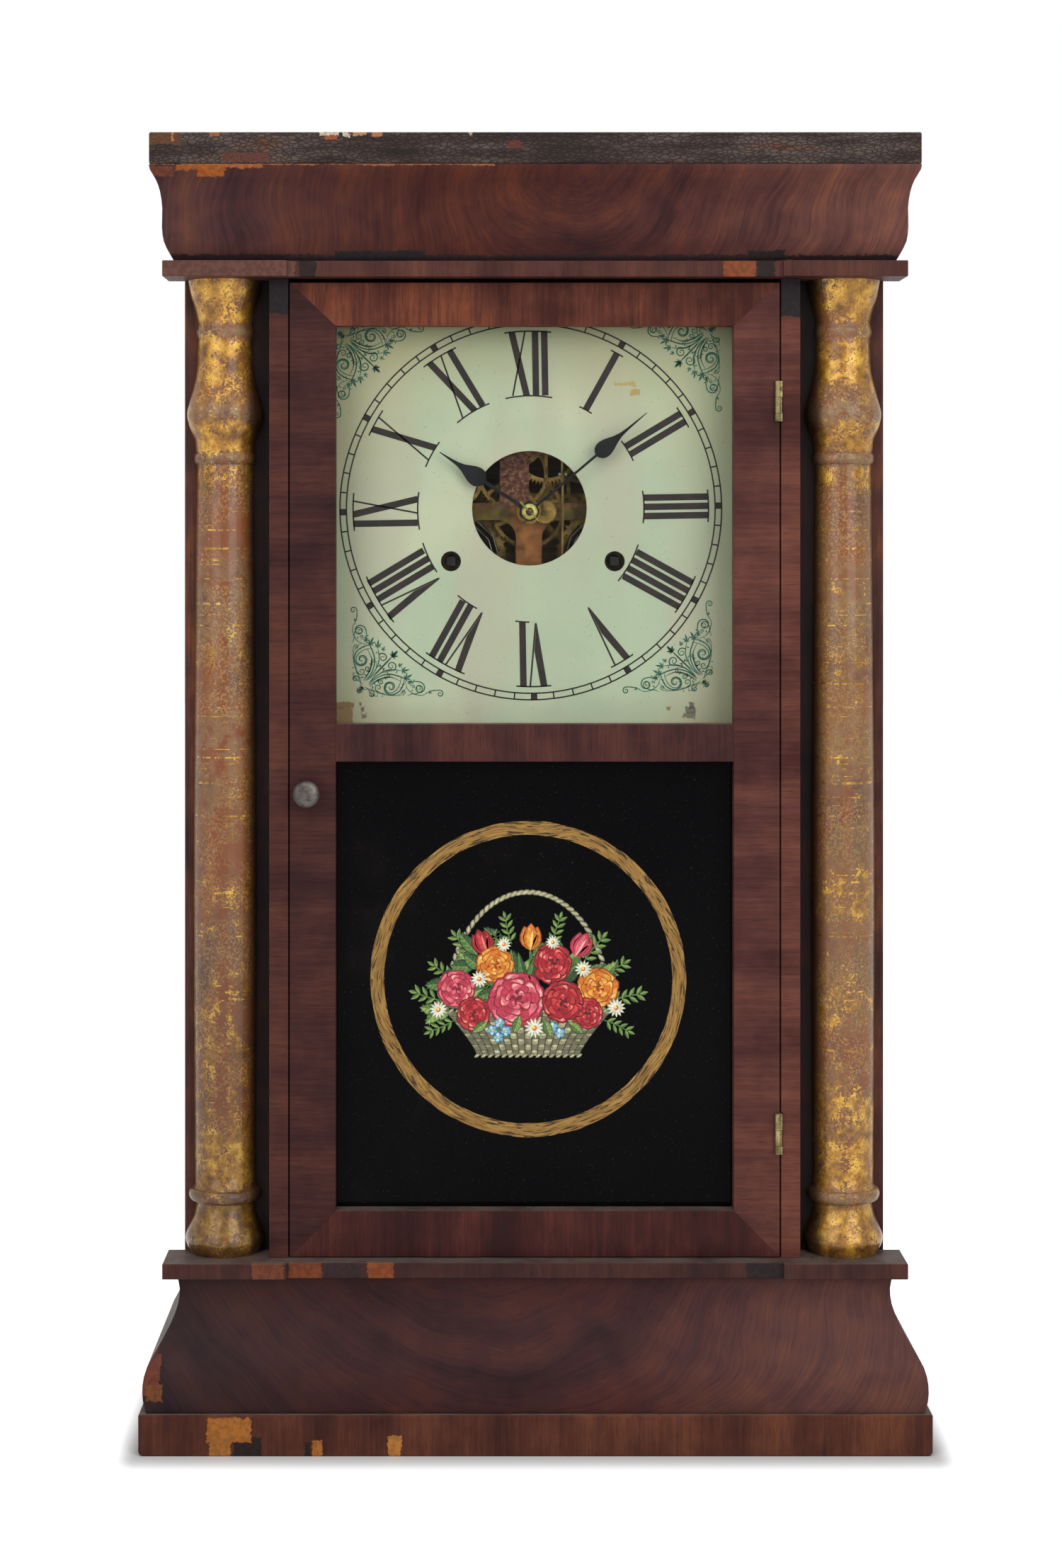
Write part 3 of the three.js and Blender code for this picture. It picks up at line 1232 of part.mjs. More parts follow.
// The brass-faced lens of the bob, with the rod's hole through it
function pendulumBob() {
  const place = new THREE.Vector2(vergePlace.x, pendulumPivotZ - pendulumLength);
  const half = bobThickness / 2;
  const lens = turned([
    [0, pendulumSetback - half], [bobRadius * 0.6, pendulumSetback - half * 0.75], [bobRadius, pendulumSetback - half / 5],
    [bobRadius, pendulumSetback + half / 5], [bobRadius * 0.6, pendulumSetback + half * 0.75], [0, pendulumSetback + half],
  ], place, 20);
  const hole = new THREE.CylinderGeometry(
    pendulumRodRadius + restGap / 2, pendulumRodRadius + restGap / 2, bobRadius * 2 + cutOverrun, 6,
  ).rotateX(Math.PI / 2);
  hole.translate(place.x, behindFront(pendulumSetback), place.y);
  return shown(cut(solid(lens), hole));
}

// The count wheel: its notches lie one blow further apart for each hour struck
function countWheel() {
  const blows = (lastHourStruck * (lastHourStruck + 1)) / 2;
  const step = (Math.PI * 2) / blows;
  const points = [];
  const root = countWheelRadius - countNotchDepth;
  const centre = new THREE.Vector2(0, 0);
  let struck = 0;
  for (let hour = 1; hour <= lastHourStruck; hour += 1) {
    const start = struck * step;
    const end = (struck + hour) * step;
    points.push(placeAt(centre, root, start - step * 0.3), placeAt(centre, root, start + step * 0.3));
    const pieces = Math.ceil(hour / 3);
    for (let k = 0; k <= pieces && hour > 1; k += 1) {
      points.push(placeAt(centre, countWheelRadius, start + step * 0.35 + ((end - start - step * 0.7) * k) / pieces));
    }
    struck += hour;
  }
  const disc = slab(new THREE.Shape(points), countWheelSetback, wheelThickness);
  const bore = rod(centre, countStudRadius + restGap / 2, countWheelSetback - cutOverrun, countWheelSetback + cutOverrun, 8);
  return shown(cut(solid(disc), bore)).translate(countPlace.x, 0, countPlace.y);
}

// The fly that slows the striking: an arbor, its pinion and two thin blades
function fly() {
  const blades = block(
    flyPlace.x - flyRadius, flyPlace.x + flyRadius, flySetback, flySetback + flyLength,
    flyPlace.y - flyThickness / 2, flyPlace.y + flyThickness / 2,
  );
  return shown(joined(
    arbor(flyPlace), blades,
    ...lanternPinion(flyPlace, flyPinionWires, strikeThirdToothSize, bearingTo(flyPlace, strikeThird), middleOf(strikeThirdSetback)),
  ));
}

// The hammer: arbor, long wire and a short round head that stops just clear of the gong
function hammer() {
  const headX = gongPlace.x - gongOuterRadius - gongWireRadius - hammerGap - hammerHeadLength / 2;
  const head = new THREE.CylinderGeometry(hammerHeadRadius, hammerHeadRadius, hammerHeadLength, 12).rotateZ(Math.PI / 2);
  head.translate(headX, behindFront(gongSetback), gongPlace.y);
  const from = new THREE.Vector3(hammerPlace.x, behindFront(gongSetback), hammerPlace.y);
  const to = new THREE.Vector3(headX, behindFront(gongSetback), gongPlace.y);
  const wire = new THREE.ExtrudeGeometry(new THREE.Shape(circlePath(new THREE.Vector2(0, 0), hammerRodRadius).getPoints(2)), {
    steps: 1, bevelEnabled: false, extrudePath: new THREE.LineCurve3(from, to),
  });
  return shown(joined(arbor(hammerPlace), wire, head));
}

// A flat spiral of wire, from the post outwards
class FlatSpiral extends THREE.Curve {
  getPoint(share) {
    const bearing = share * gongTurns * Math.PI * 2;
    const radius = gongInnerRadius + (gongOuterRadius - gongInnerRadius) * share;
    const place = placeAt(gongPlace, radius, bearing);
    return new THREE.Vector3(place.x, behindFront(gongSetback), place.y);
  }
}

function gongCoil() {
  const section = new THREE.Shape();
  const sides = 5;
  for (let k = 0; k < sides; k += 1) {
    const place = placeAt(new THREE.Vector2(0, 0), gongWireRadius, (k * Math.PI * 2) / sides);
    if (k === 0) section.moveTo(place.x, place.y);
    else section.lineTo(place.x, place.y);
  }
  const pitch = (gongOuterRadius - gongInnerRadius) / gongTurns;
  console.log(`least gap of the gong's coil to itself: ${(pitch - 2 * gongWireRadius).toFixed(2)} mm`);
  const coil = new THREE.ExtrudeGeometry(section, { steps: gongTurns * gongSteps, bevelEnabled: false, extrudePath: new FlatSpiral() });
  const arm = new THREE.ExtrudeGeometry(section, {
    steps: 1,
    bevelEnabled: false,
    extrudePath: new THREE.LineCurve3(
      new THREE.Vector3(gongPlace.x + gongPostRadius + restGap, behindFront(gongSetback), gongPlace.y),
      new THREE.Vector3(gongPlace.x + gongInnerRadius + gongWireRadius, behindFront(gongSetback), gongPlace.y),
    ),
  });
  return shown(joined(coil, arm));
}

function gongPost() {
  const front = gongSetback - gongPostRadius;
  const foot = backBoardSetback - gongFootThickness;
  return turned([
    [0, front], [gongPostRadius, front], [gongPostRadius, foot - gongFootThickness], [gongFootRadius, foot],
    [gongFootRadius, backBoardSetback], [0, backBoardSetback],
  ], gongPlace, 14);
}

function buildWorks() {
  addSteel('verge_and_crutch', verge());
  addSteel('pendulum_rod', pendulumRod());
  addBrass('pendulum_bob', pendulumBob());
  addBrass('count_wheel', countWheel());
  addBrass('fly', fly());
  addSteel('hammer', hammer());
  addSteel('gong_coil', gongCoil());
  addSteel('gong_post', shown(solid(gongPost())), colours.iron);
}

buildCase();
buildDoor();
buildDial();
buildFrame();
buildTrains();
buildWorks();

export default clock;
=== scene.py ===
import json
import math
import random

import bmesh
import bpy
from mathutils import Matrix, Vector, geometry

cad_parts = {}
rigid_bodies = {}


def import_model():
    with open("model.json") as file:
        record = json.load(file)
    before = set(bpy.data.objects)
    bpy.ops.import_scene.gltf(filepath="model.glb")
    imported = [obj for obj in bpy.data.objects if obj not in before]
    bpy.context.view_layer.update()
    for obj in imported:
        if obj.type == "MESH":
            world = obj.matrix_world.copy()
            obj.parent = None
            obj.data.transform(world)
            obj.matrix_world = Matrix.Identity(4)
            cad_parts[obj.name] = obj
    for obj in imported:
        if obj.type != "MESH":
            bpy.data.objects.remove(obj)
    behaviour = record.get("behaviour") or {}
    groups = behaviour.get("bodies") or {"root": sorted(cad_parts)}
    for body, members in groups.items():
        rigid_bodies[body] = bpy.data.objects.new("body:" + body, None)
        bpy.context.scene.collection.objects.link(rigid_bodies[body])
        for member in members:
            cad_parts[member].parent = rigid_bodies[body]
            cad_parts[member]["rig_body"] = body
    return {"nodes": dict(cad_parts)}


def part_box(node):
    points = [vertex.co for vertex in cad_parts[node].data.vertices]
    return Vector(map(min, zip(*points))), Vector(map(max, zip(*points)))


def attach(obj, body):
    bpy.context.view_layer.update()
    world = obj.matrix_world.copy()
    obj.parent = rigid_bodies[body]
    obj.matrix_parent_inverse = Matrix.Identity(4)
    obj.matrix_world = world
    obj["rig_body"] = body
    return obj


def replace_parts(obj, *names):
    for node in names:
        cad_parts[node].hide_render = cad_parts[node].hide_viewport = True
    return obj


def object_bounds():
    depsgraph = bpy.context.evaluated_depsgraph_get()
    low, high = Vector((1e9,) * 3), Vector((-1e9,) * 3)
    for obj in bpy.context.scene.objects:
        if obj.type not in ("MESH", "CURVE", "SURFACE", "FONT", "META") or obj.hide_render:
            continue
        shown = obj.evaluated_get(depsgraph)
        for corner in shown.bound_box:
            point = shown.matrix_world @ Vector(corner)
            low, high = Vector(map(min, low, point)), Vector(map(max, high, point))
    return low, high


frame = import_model()
cad_low, cad_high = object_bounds()
nodes = frame["nodes"]

# Sizes are in millimetres, except the stage's, and MM turns them into metres. Setbacks are measured back
# from the plinth's front, and places on the front are across from the clock's middle and up from its foot.
MM = 0.001
DEPTH = 121
# The hands' centre, the dial's and the tablet's fronts, and how thick print and paint are
HUB = (-2.2, 453.0)
DIAL_FRONT = 43.0
TABLET_FRONT = 30.1
INK = 0.05
# The opening that the dial shows through: left, right, foot and top
DIAL_PANE = (-96.0, 92.0, 350.5, 544.0)
# The columns: where they stand, their flat backs' setback, and the shaft between the turned ends
BAY_FLOOR = 89.8
COLUMN_SPREAD = 152
COLUMN_HEIGHT = 476.5
COLUMN_PLANE = 37
SHAFT_FOOT = 30
SHAFT_HEAD = 392
# The gold ring on the tablet
TABLET_CENTRE = (-3.0, 224.0)
RING_OUTER = 77.4
RING_INNER = 70.6
RING_MIDDLE = (RING_OUTER + RING_INNER) / 2
# How deep patches reach behind a board's front, and on the two curved mouldings
FRONT_LAYER = 4
CURVE_DEPTH = 32
# The setback from which the mouldings' curved grain is measured
MOULDING_SETBACK = 14


def along_y(setback):
    """A distance behind the plinth's front, as a place along Y"""
    return setback - DEPTH / 2


def behind_front(node, depth=FRONT_LAYER):
    """The place along Y that lies so many millimetres behind a node's front"""
    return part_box(node)[0].y + depth * MM


# MATERIALS

# How deep the bumps are
SCRATCH_DEPTH = 0.02
PORE_DEPTH = 0.03
TARNISH_DEPTH = 0.04
FIBRE_DEPTH = 0.05
TURNING_DEPTH = 0.08
FINE_CRACK_DEPTH = 0.1
ROUGH_FIBRE_DEPTH = 0.12
GLASS_WAVER = 0.2
CRACK_DEPTH = 0.3

# How far curved grain wanders, and the radius at which its angle counts as a length
RING_WANDER = 16
GRAIN_RADIUS = 60
# How far the mouldings' tints of painted shade reach each way along X
TINT_REACH = 200
# How soft and how ragged the edges of patches are
PATCH_EDGE = 0.25
PATCH_WAVER = 3.0
TOP_CHIP_WAVER = 2.4
DUST = (112, 104, 96)
DUST_SHARE = 0.55
RUBBED_SHARE = 0.86
# How much sooner the ring's paint is worn through, for each metre away from its middle line
EDGE_WEAR = 26.0


def linear(red, green, blue):
    """A colour given as it shows on a screen, 0 to 255, in the renderer's own scale"""
    def one(value):
        share = value / 255
        return share / 12.92 if share <= 0.04045 else ((share + 0.055) / 1.055) ** 2.4
    return (one(red), one(green), one(blue), 1)


class Finish:
    """One node material. Its textures sit in the object's own coordinates, in metres."""

    def __init__(self, name, roughness=0.5, metallic=0.0, specular=0.5, coat=0.0):
        self.material = bpy.data.materials.new(name)
        self.material.use_nodes = True
        self.tree = self.material.node_tree
        self.tree.nodes.clear()
        self.output = self.add("ShaderNodeOutputMaterial")
        self.surface = self.add("ShaderNodeBsdfPrincipled", {
            "Roughness": roughness, "Metallic": metallic, "Specular IOR Level": specular,
            "Coat Weight": coat, "Coat Roughness": 0.12,
        })
        self.link(self.surface.outputs[0], self.output.inputs["Surface"])
        coordinates = self.add("ShaderNodeTexCoord")
        self.place, self.facing = coordinates.outputs["Object"], coordinates.outputs["Normal"]
        self.x, self.y, self.z = self.parts(self.place)

    def add(self, kind, inputs=None, **settings):
        """A node with its settings, and with plain values on some of its inputs"""
        node = self.tree.nodes.new(kind)
        for key, value in settings.items():
            setattr(node, key, value)
        for key, value in (inputs or {}).items():
            node.inputs[key].default_value = value
        return node

    def parts(self, vector):
        """The three parts of a vector"""
        node = self.add("ShaderNodeSeparateXYZ")
        self.link(vector, node.inputs[0])
        return node.outputs

    def link(self, source, target):
        self.tree.links.new(source, target)

    def feed(self, socket, value):
        """Links a socket, or sets a plain number on it, or a colour given as it shows on a screen"""
        if hasattr(value, "is_linked"):
            self.link(value, socket)
        else:
            socket.default_value = linear(*value) if isinstance(value, tuple) else value

    def stretched(self, scale, vector=None):
        mapping = self.add("ShaderNodeMapping", {"Scale": scale})
        self.link(vector or self.place, mapping.inputs["Vector"])
        return mapping.outputs[0]

    def noise(self, scale, vector=None, detail=4.0, roughness=0.55, distortion=0.0):
        texture = self.add("ShaderNodeTexNoise", {
            "Scale": scale, "Detail": detail, "Roughness": roughness, "Distortion": distortion,
        })
        self.link(vector or self.place, texture.inputs["Vector"])
        return texture.outputs[0]

    def cells(self, scale, vector=None, feature="F1"):
        texture = self.add("ShaderNodeTexVoronoi", {"Scale": scale}, feature=feature)
        self.link(vector or self.place, texture.inputs["Vector"])
        return texture.outputs["Distance"]

    def calc(self, operation, first, second=0.0, third=0.0):
        node = self.add("ShaderNodeMath", operation=operation)
        for socket, value in zip(node.inputs, (first, second, third)):
            self.feed(socket, value)
        return node.outputs[0]

    def product(self, *values):
        result = values[0]
        for value in values[1:]:
            result = self.calc("MULTIPLY", result, value)
        return result

    def weighed(self, *pairs):
        """The sum of values, each times its share"""
        result = self.product(*pairs[0])
        for value, share in pairs[1:]:
            result = self.calc("MULTIPLY_ADD", value, share, result)
        return result

    def inverse(self, share):
        return self.calc("SUBTRACT", 1.0, share)

    def distance(self, first, second):
        return self.calc("SQRT", self.calc("ADD", self.product(first, first), self.product(second, second)))

    def fade(self, length, edges, to_low=0.0, to_high=1.0):
        """As between, with a pair of edges in millimetres"""
        return self.between(length, edges[0] * MM, edges[1] * MM, to_low, to_high)

    def between(self, value, low, high, to_low=0.0, to_high=1.0):
        """The value's share of the way from low to high, held within them"""
        node = self.add("ShaderNodeMapRange", interpolation_type="SMOOTHSTEP")
        for socket, number in zip(node.inputs, (value, low, high, to_low, to_high)):
            self.feed(socket, number)
        return node.outputs[0]

    def ramp(self, value, stops):
        """Colours as they show on a screen, or plain shares, at their places along a value"""
        node = self.add("ShaderNodeValToRGB")
        self.feed(node.inputs[0], value)
        points = node.color_ramp.elements
        while len(points) < len(stops):
            points.new(0.5)
        for point, (where, tone) in zip(points, stops):
            point.position = where
            point.color = linear(*tone) if isinstance(tone, tuple) else (tone, tone, tone, 1)
        return node.outputs[0]

    def mix(self, share, first, second, how="MIX"):
        node = self.add("ShaderNodeMix", data_type="RGBA", blend_type=how)
        for number, value in ((0, share), (6, first), (7, second)):
            self.feed(node.inputs[number], value)
        return node.outputs[2]

    def beside(self, centre):
        """How far along X and up from a point of the front"""
        return self.calc("SUBTRACT", self.x, centre[0] * MM), self.calc("SUBTRACT", self.z, centre[1] * MM)

    def from_point(self, centre, setback):
        """As beside; most of the depth counts as X too, so that a pattern runs on round a corner"""
        across, up = self.beside(centre)
        behind = self.calc("SUBTRACT", self.y, along_y(setback) * MM)
        return self.calc("ADD", across, self.product(behind, 0.8)), up

    def rings(self, centre, setback):
        """Coordinates that run round a point of the front, for grain that curves: outwards, then round"""
        across, up = self.from_point(centre, setback)
        wander = self.product(self.calc("SUBTRACT", self.noise(22.0, detail=1.0), 0.5), RING_WANDER * MM)
        node = self.add("ShaderNodeCombineXYZ")
        self.link(self.calc("ADD", self.distance(across, up), wander), node.inputs[0])
        self.link(self.product(self.calc("ARCTAN2", up, across), GRAIN_RADIUS * MM), node.inputs[1])
        return node.outputs[0]

    def set(self, **sockets):
        names = {"colour": "Base Color", "roughness": "Roughness", "metallic": "Metallic"}
        for key, value in sockets.items():
            self.feed(self.surface.inputs[names[key]], value)

    def bump(self, height, distance, strength=1.0):
        """Relief so many millimetres deep, on top of any that is there"""
        node = self.add("ShaderNodeBump", {"Distance": distance * MM, "Strength": strength})
        self.feed(node.inputs["Height"], height)
        earlier = self.surface.inputs["Normal"]
        if earlier.is_linked:
            self.link(earlier.links[0].from_socket, node.inputs["Normal"])
        self.link(node.outputs[0], earlier)

    def patch(self, centre, half, behind, waver=PATCH_WAVER):
        """A mask that is 1 inside a ragged rectangle of the front and 0 from a place along Y backwards"""
        slow, quick = (
            self.product(self.calc("SUBTRACT", self.noise(scale, detail=detail), 0.5), waver * MM)
            for scale, detail in ((110.0, 2.0), (700.0, 3.0))
        )
        wide, tall = (
            self.calc("SUBTRACT", self.calc("ABSOLUTE", aside), reach * MM)
            for aside, reach in zip(self.beside(centre), half)
        )
        furthest = self.calc("MAXIMUM", wide, tall)
        furthest = self.calc("MAXIMUM", furthest, self.calc("SUBTRACT", self.y, behind))
        edge = self.calc("ADD", furthest, self.calc("ADD", slow, quick))
        return self.fade(edge, (PATCH_EDGE, -PATCH_EDGE))

    def dusty(self, colour):
        """The colour with dust on the faces that look up"""
        lying = self.between(self.parts(self.facing)[2], 0.7, 0.98)
        specks = self.noise(60.0, detail=5.0, roughness=0.7)
        cover = self.between(specks, 0.3, 0.62, 0.4 * DUST_SHARE, DUST_SHARE)
        return self.mix(self.product(lying, cover), colour, DUST)

    def shade_tinted(self, colour, shade_tints):
        """The colour darkened by tints that lie at distances along X, 255 for none: painted shade across a
        moulding
        """
        share = self.calc("MULTIPLY_ADD", self.x, 0.5 / (TINT_REACH * MM), 0.5)
        stops = [(0.5 + where / TINT_REACH / 2, tint) for where, tint in shade_tints]
        return self.mix(1.0, colour, self.ramp(share, stops), "MULTIPLY")


def veneer(name, grain, tones, roughness=0.5, centre=None, shade_tints=(), patches=(), behind=0.0, contrast=1.0):
    """Polished wood: fibres along grain (x, y or z) or round a centre, pores and broad bands of colour"""
    f = Finish(name, roughness=roughness, specular=0.1)
    place = f.rings(centre, MOULDING_SETBACK) if centre else f.place
    across = {"x": (0.05, 1, 1), "y": (1, 0.05, 1), "z": (1, 1, 0.05)}[grain]
    if centre:
        across = (1, 0.07, 1)
    bands = f.noise(46.0, f.stretched(tuple(max(s, 0.12) for s in across), place), detail=3.0)
    streaks = f.noise(560.0, f.stretched(across, place), detail=5.0, roughness=0.7)
    clouds = f.noise(15.0, detail=2.0)
    shimmer = f.noise(75.0, detail=2.0)
    pores = f.noise(2400.0, f.stretched(across, place), detail=2.0)
    blend = f.weighed((bands, 0.36), (streaks, 0.26), (clouds, 0.22), (shimmer, 0.16))
    dark, middle, light = tones
    reach = 0.1 / contrast
    colour = f.ramp(blend, [(0.5 - reach, dark), (0.5, middle), (0.5 + reach, light)])
    colour = f.mix(f.between(pores, 0.54, 0.68, 0.0, 0.5), colour, dark)
    # Painted shade across the mouldings, from their tints
    if shade_tints:
        colour = f.shade_tinted(colour, shade_tints)
    for place_of, half, tone in patches:
        rubbed = tuple(RUBBED_SHARE * part for part in tone)
        uneven = f.mix(f.between(f.noise(420.0, detail=3.0), 0.4, 0.6), tone, rubbed)
        colour = f.mix(f.patch(place_of, half, behind), colour, uneven)
    colour = f.dusty(colour)
    f.set(colour=colour, roughness=f.between(streaks, 0.3, 0.7, roughness - 0.06, roughness + 0.1))
    f.bump(streaks, FIBRE_DEPTH, 0.4)
    f.bump(pores, PORE_DEPTH, 0.4)
    return f.material


def crackled_wood(name):
    """Old thick varnish shrunk into a fine net of cracks, with wood bared by chips at the upper edge"""
    f = Finish(name, roughness=0.6, specular=0.15)
    wavy = f.stretched((0.45, 0.6, 1))
    cracks = f.cells(640.0, wavy, "DISTANCE_TO_EDGE")
    fine = f.cells(1500.0, wavy, "DISTANCE_TO_EDGE")
    clouds = f.noise(26.0, f.stretched((0.5, 1, 1)), detail=4.0, roughness=0.65)
    streaks = f.noise(240.0, f.stretched((0.1, 0.2, 1)), detail=3.0)
    blend = f.weighed((clouds, 0.6), (streaks, 0.4))
    colour = f.ramp(blend, [
        (0.38, (44, 33, 30)), (0.47, (70, 55, 50)), (0.56, (98, 84, 78)), (0.66, (104, 62, 42)),
    ])
    colour = f.mix(f.between(cracks, 0.0, 0.16, 0.8, 0.0), colour, (24, 18, 17))
    colour = f.mix(f.between(fine, 0.0, 0.2, 0.35, 0.0), colour, (30, 22, 20))
    for centre, half, tone in TOP_CHIPS:
        colour = f.mix(f.patch(centre, half, behind_front("top_board"), TOP_CHIP_WAVER), colour, tone)
    f.set(colour=colour)
    f.bump(f.between(cracks, 0.0, 0.25), CRACK_DEPTH)
    f.bump(f.between(fine, 0.0, 0.3), FINE_CRACK_DEPTH)
    return f.material


def plain_wood(name, grain, tones):
    """Unpolished softwood for the inside and the back"""
    f = Finish(name, roughness=0.75, specular=0.15)
    across = {"x": (0.03, 1, 1), "z": (1, 1, 0.03)}[grain]
    rings = f.noise(60.0, f.stretched(across), detail=3.0, distortion=0.6)
    fibres = f.noise(900.0, f.stretched(across), detail=3.0)
    stain = f.noise(7.0, detail=4.0)
    dark, middle, light = tones
    colour = f.ramp(f.weighed((rings, 0.7), (fibres, 0.3)), [(0.35, dark), (0.5, middle), (0.65, light)])
    colour = f.mix(f.between(stain, 0.5, 0.75, 0.0, 0.6), colour, dark)
    f.set(colour=colour)
    f.bump(fibres, ROUGH_FIBRE_DEPTH, 0.6)
    return f.material


# How much gold leaf is left and how grey the dirt is, at heights above the column's foot
GOLD_SHARES = (
    (0, 0.5), (12, 0.46), (24, 0.7), (26, 0.12), (31, 0.12), (35, 0.72), (58, 0.6), (86, 0.3),
    (120, 0.24), (150, 0.1), (178, 0.3), (196, 0.06), (240, 0.2), (262, 0.05), (290, 0.3), (306, 0.08),
    (358, 0.06), (370, 0.1), (376, 0.56), (384, 0.5), (387, 0.0), (391, 0.0), (394, 0.78), (405, 0.6),
    (411, 0.12), (421, 0.3), (429, 0.66), (446, 0.6), (449, 0.02), (453, 0.02), (457, 0.66), (476, 0.56),
)
GREY_SHARES = (
    (0, 0.1), (24, 0.1), (28, 0.6), (33, 0.1), (90, 0.05), (150, 0.2), (200, 0.1), (250, 0.5), (272, 0.1),
    (330, 0.45), (345, 0.1), (384, 0.1), (388, 0.7), (393, 0.1), (409, 0.7), (415, 0.6), (420, 0.1),
    (447, 0.1), (451, 0.8), (455, 0.1), (476, 0.1),
)
# Distances outwards from the column's middle line: the worn ridge, the turned ends, and the inner flank
# towards the door, darkened there with painted shade.
# SHAFT_FADE is at the shaft's two ends, and SIDE_EDGES tells the left column from the right.
RIDGE_EDGES = (4.5, 7)
RIDGE_WAVER = 6
SHAFT_FADE = 8
END_EDGES = (-8, 8)
SHADED_FLANK_EDGES = (-15.5, -8.5)
SIDE_EDGES = (-50, 50)


def worn_gilding(name):
    """Gold leaf rubbed through in specks to its red-brown ground, with grey dirt on the rings and painted
    shade on the inner flanks
    """
    f = Finish(name, specular=0.25, coat=0.35)
    height = f.calc("DIVIDE", f.calc("SUBTRACT", f.z, BAY_FLOOR * MM), COLUMN_HEIGHT * MM)
    outwards = f.calc("SUBTRACT", f.calc("ABSOLUTE", f.x), COLUMN_SPREAD * MM)
    aside = f.calc("ABSOLUTE", outwards)
    on_right = f.fade(f.x, SIDE_EDGES)

    def by_height(shares):
        return f.ramp(height, [(where / COLUMN_HEIGHT, share) for where, share in shares])

    shaft_middle, shaft_half = BAY_FLOOR + (SHAFT_FOOT + SHAFT_HEAD) / 2, (SHAFT_HEAD - SHAFT_FOOT) / 2
    off_middle = f.calc("ABSOLUTE", f.calc("SUBTRACT", f.product(f.z, 1 / MM), shaft_middle))
    shaft = f.between(off_middle, shaft_half - SHAFT_FADE, shaft_half, 1.0, 0.0)
    broad = f.noise(34.0, detail=2.0)
    blots = f.noise(170.0, detail=3.0, roughness=0.6)
    grit = f.noise(820.0, detail=3.0, roughness=0.7)
    off_ridge = f.weighed((aside, 1.0), (blots, RIDGE_WAVER * MM))
    ridge = f.product(f.fade(off_ridge, RIDGE_EDGES, 1.0, 0.0), shaft)
    cover = f.weighed(
        (grit, 0.5), (blots, 0.3), (broad, 0.2), (by_height(GOLD_SHARES), 0.2), (ridge, -0.045),
        (f.product(f.inverse(shaft), f.fade(outwards, END_EDGES)), 0.03),
    )
    gold_share = f.between(cover, 0.585, 0.605)

    clouds = f.noise(60.0, f.stretched((1, 1, 0.4)), detail=4.0, roughness=0.6)
    ground = f.ramp(clouds, [
        (0.36, (90, 57, 43)), (0.48, (121, 75, 49)), (0.58, (134, 77, 43)), (0.68, (127, 63, 28)),
    ])
    ground = f.mix(f.product(ridge, 0.8), ground, (122, 62, 22))
    freckles = f.between(f.noise(900.0, detail=2.0, distortion=0.8), 0.5, 0.58, 0.0, 0.5)
    freckled = f.between(f.noise(46.0, f.stretched((0.5, 0.5, 1)), detail=2.0), 0.4, 0.56)
    ground = f.mix(f.product(freckles, freckled), ground, (190, 148, 86))
    smears = f.product(f.between(blots, 0.4, 0.56), by_height(GREY_SHARES))
    ground = f.mix(smears, ground, (140, 120, 85))
    ground = f.mix(f.product(f.between(broad, 0.4, 0.56), on_right, 0.3), ground, (141, 112, 72))
    dots = f.between(f.cells(640.0), 0.12, 0.24, 0.7, 0.0)
    ground = f.mix(f.product(dots, f.between(blots, 0.48, 0.6)), ground, (50, 38, 34))

    gold = f.ramp(f.noise(120.0, detail=5.0, roughness=0.65), [
        (0.36, (108, 71, 22)), (0.5, (171, 120, 39)), (0.64, (222, 173, 69)),
    ])
    holes = f.between(f.cells(900.0), 0.16, 0.3, 0.85, 0.0)
    gold = f.mix(f.product(holes, f.between(f.noise(300.0), 0.42, 0.54)), gold, (58, 38, 20))
    lines = f.between(f.noise(560.0, f.stretched((0, 0, 1)), detail=2.0), 0.57, 0.6)
    dashes = f.between(f.noise(330.0, f.stretched((1, 1, 0.5)), detail=2.0), 0.5, 0.54)
    share = f.calc("MAXIMUM", gold_share, f.product(lines, dashes, shaft))
    colour = f.mix(share, ground, gold)
    # Painted shade on the inner flank, towards the door; the left column is also darkened towards its foot,
    # and both feet a little
    dim_left, dim_foot = f.between(height, 0.0, 0.62, 0.82, 0.0), f.between(height, 0.05, 0.1, 0.34, 0.0)
    low = f.calc("MULTIPLY_ADD", f.inverse(on_right), dim_left, dim_foot)
    shade = f.calc("MAXIMUM", f.product(low, 0.5), f.fade(outwards, SHADED_FLANK_EDGES, 0.9, 0.0))
    colour = f.mix(shade, colour, (34, 22, 14))
    f.set(
        colour=colour,
        metallic=f.product(share, 0.3),
        roughness=f.between(share, 0.0, 1.0, 0.46, 0.36),
    )
    f.bump(f.noise(260.0, f.stretched((0.03, 0.03, 1)), detail=3.0), TURNING_DEPTH, 0.6)
    f.bump(share, FIBRE_DEPTH, 0.6)
    f.bump(grit, FIBRE_DEPTH, 0.4)
    return f.material


# Where the movement's and the dial's colours change, away from the hands' centre
RED_EDGES = (1, 4.5)
OLIVE_EDGES = (6.5, 10.5)
HUB_EDGES = (5, 9)
HUB_WAVER = 4
ARBOR_END_AND_SHADE_EDGES = (1.95, 2.2)
PIN_EDGES = (0.35, 0.5)
YELLOWED_EDGES = (70, 150)
YELLOWED_DROP = 30
SHADED_SIDE_EDGES = (66, 98)


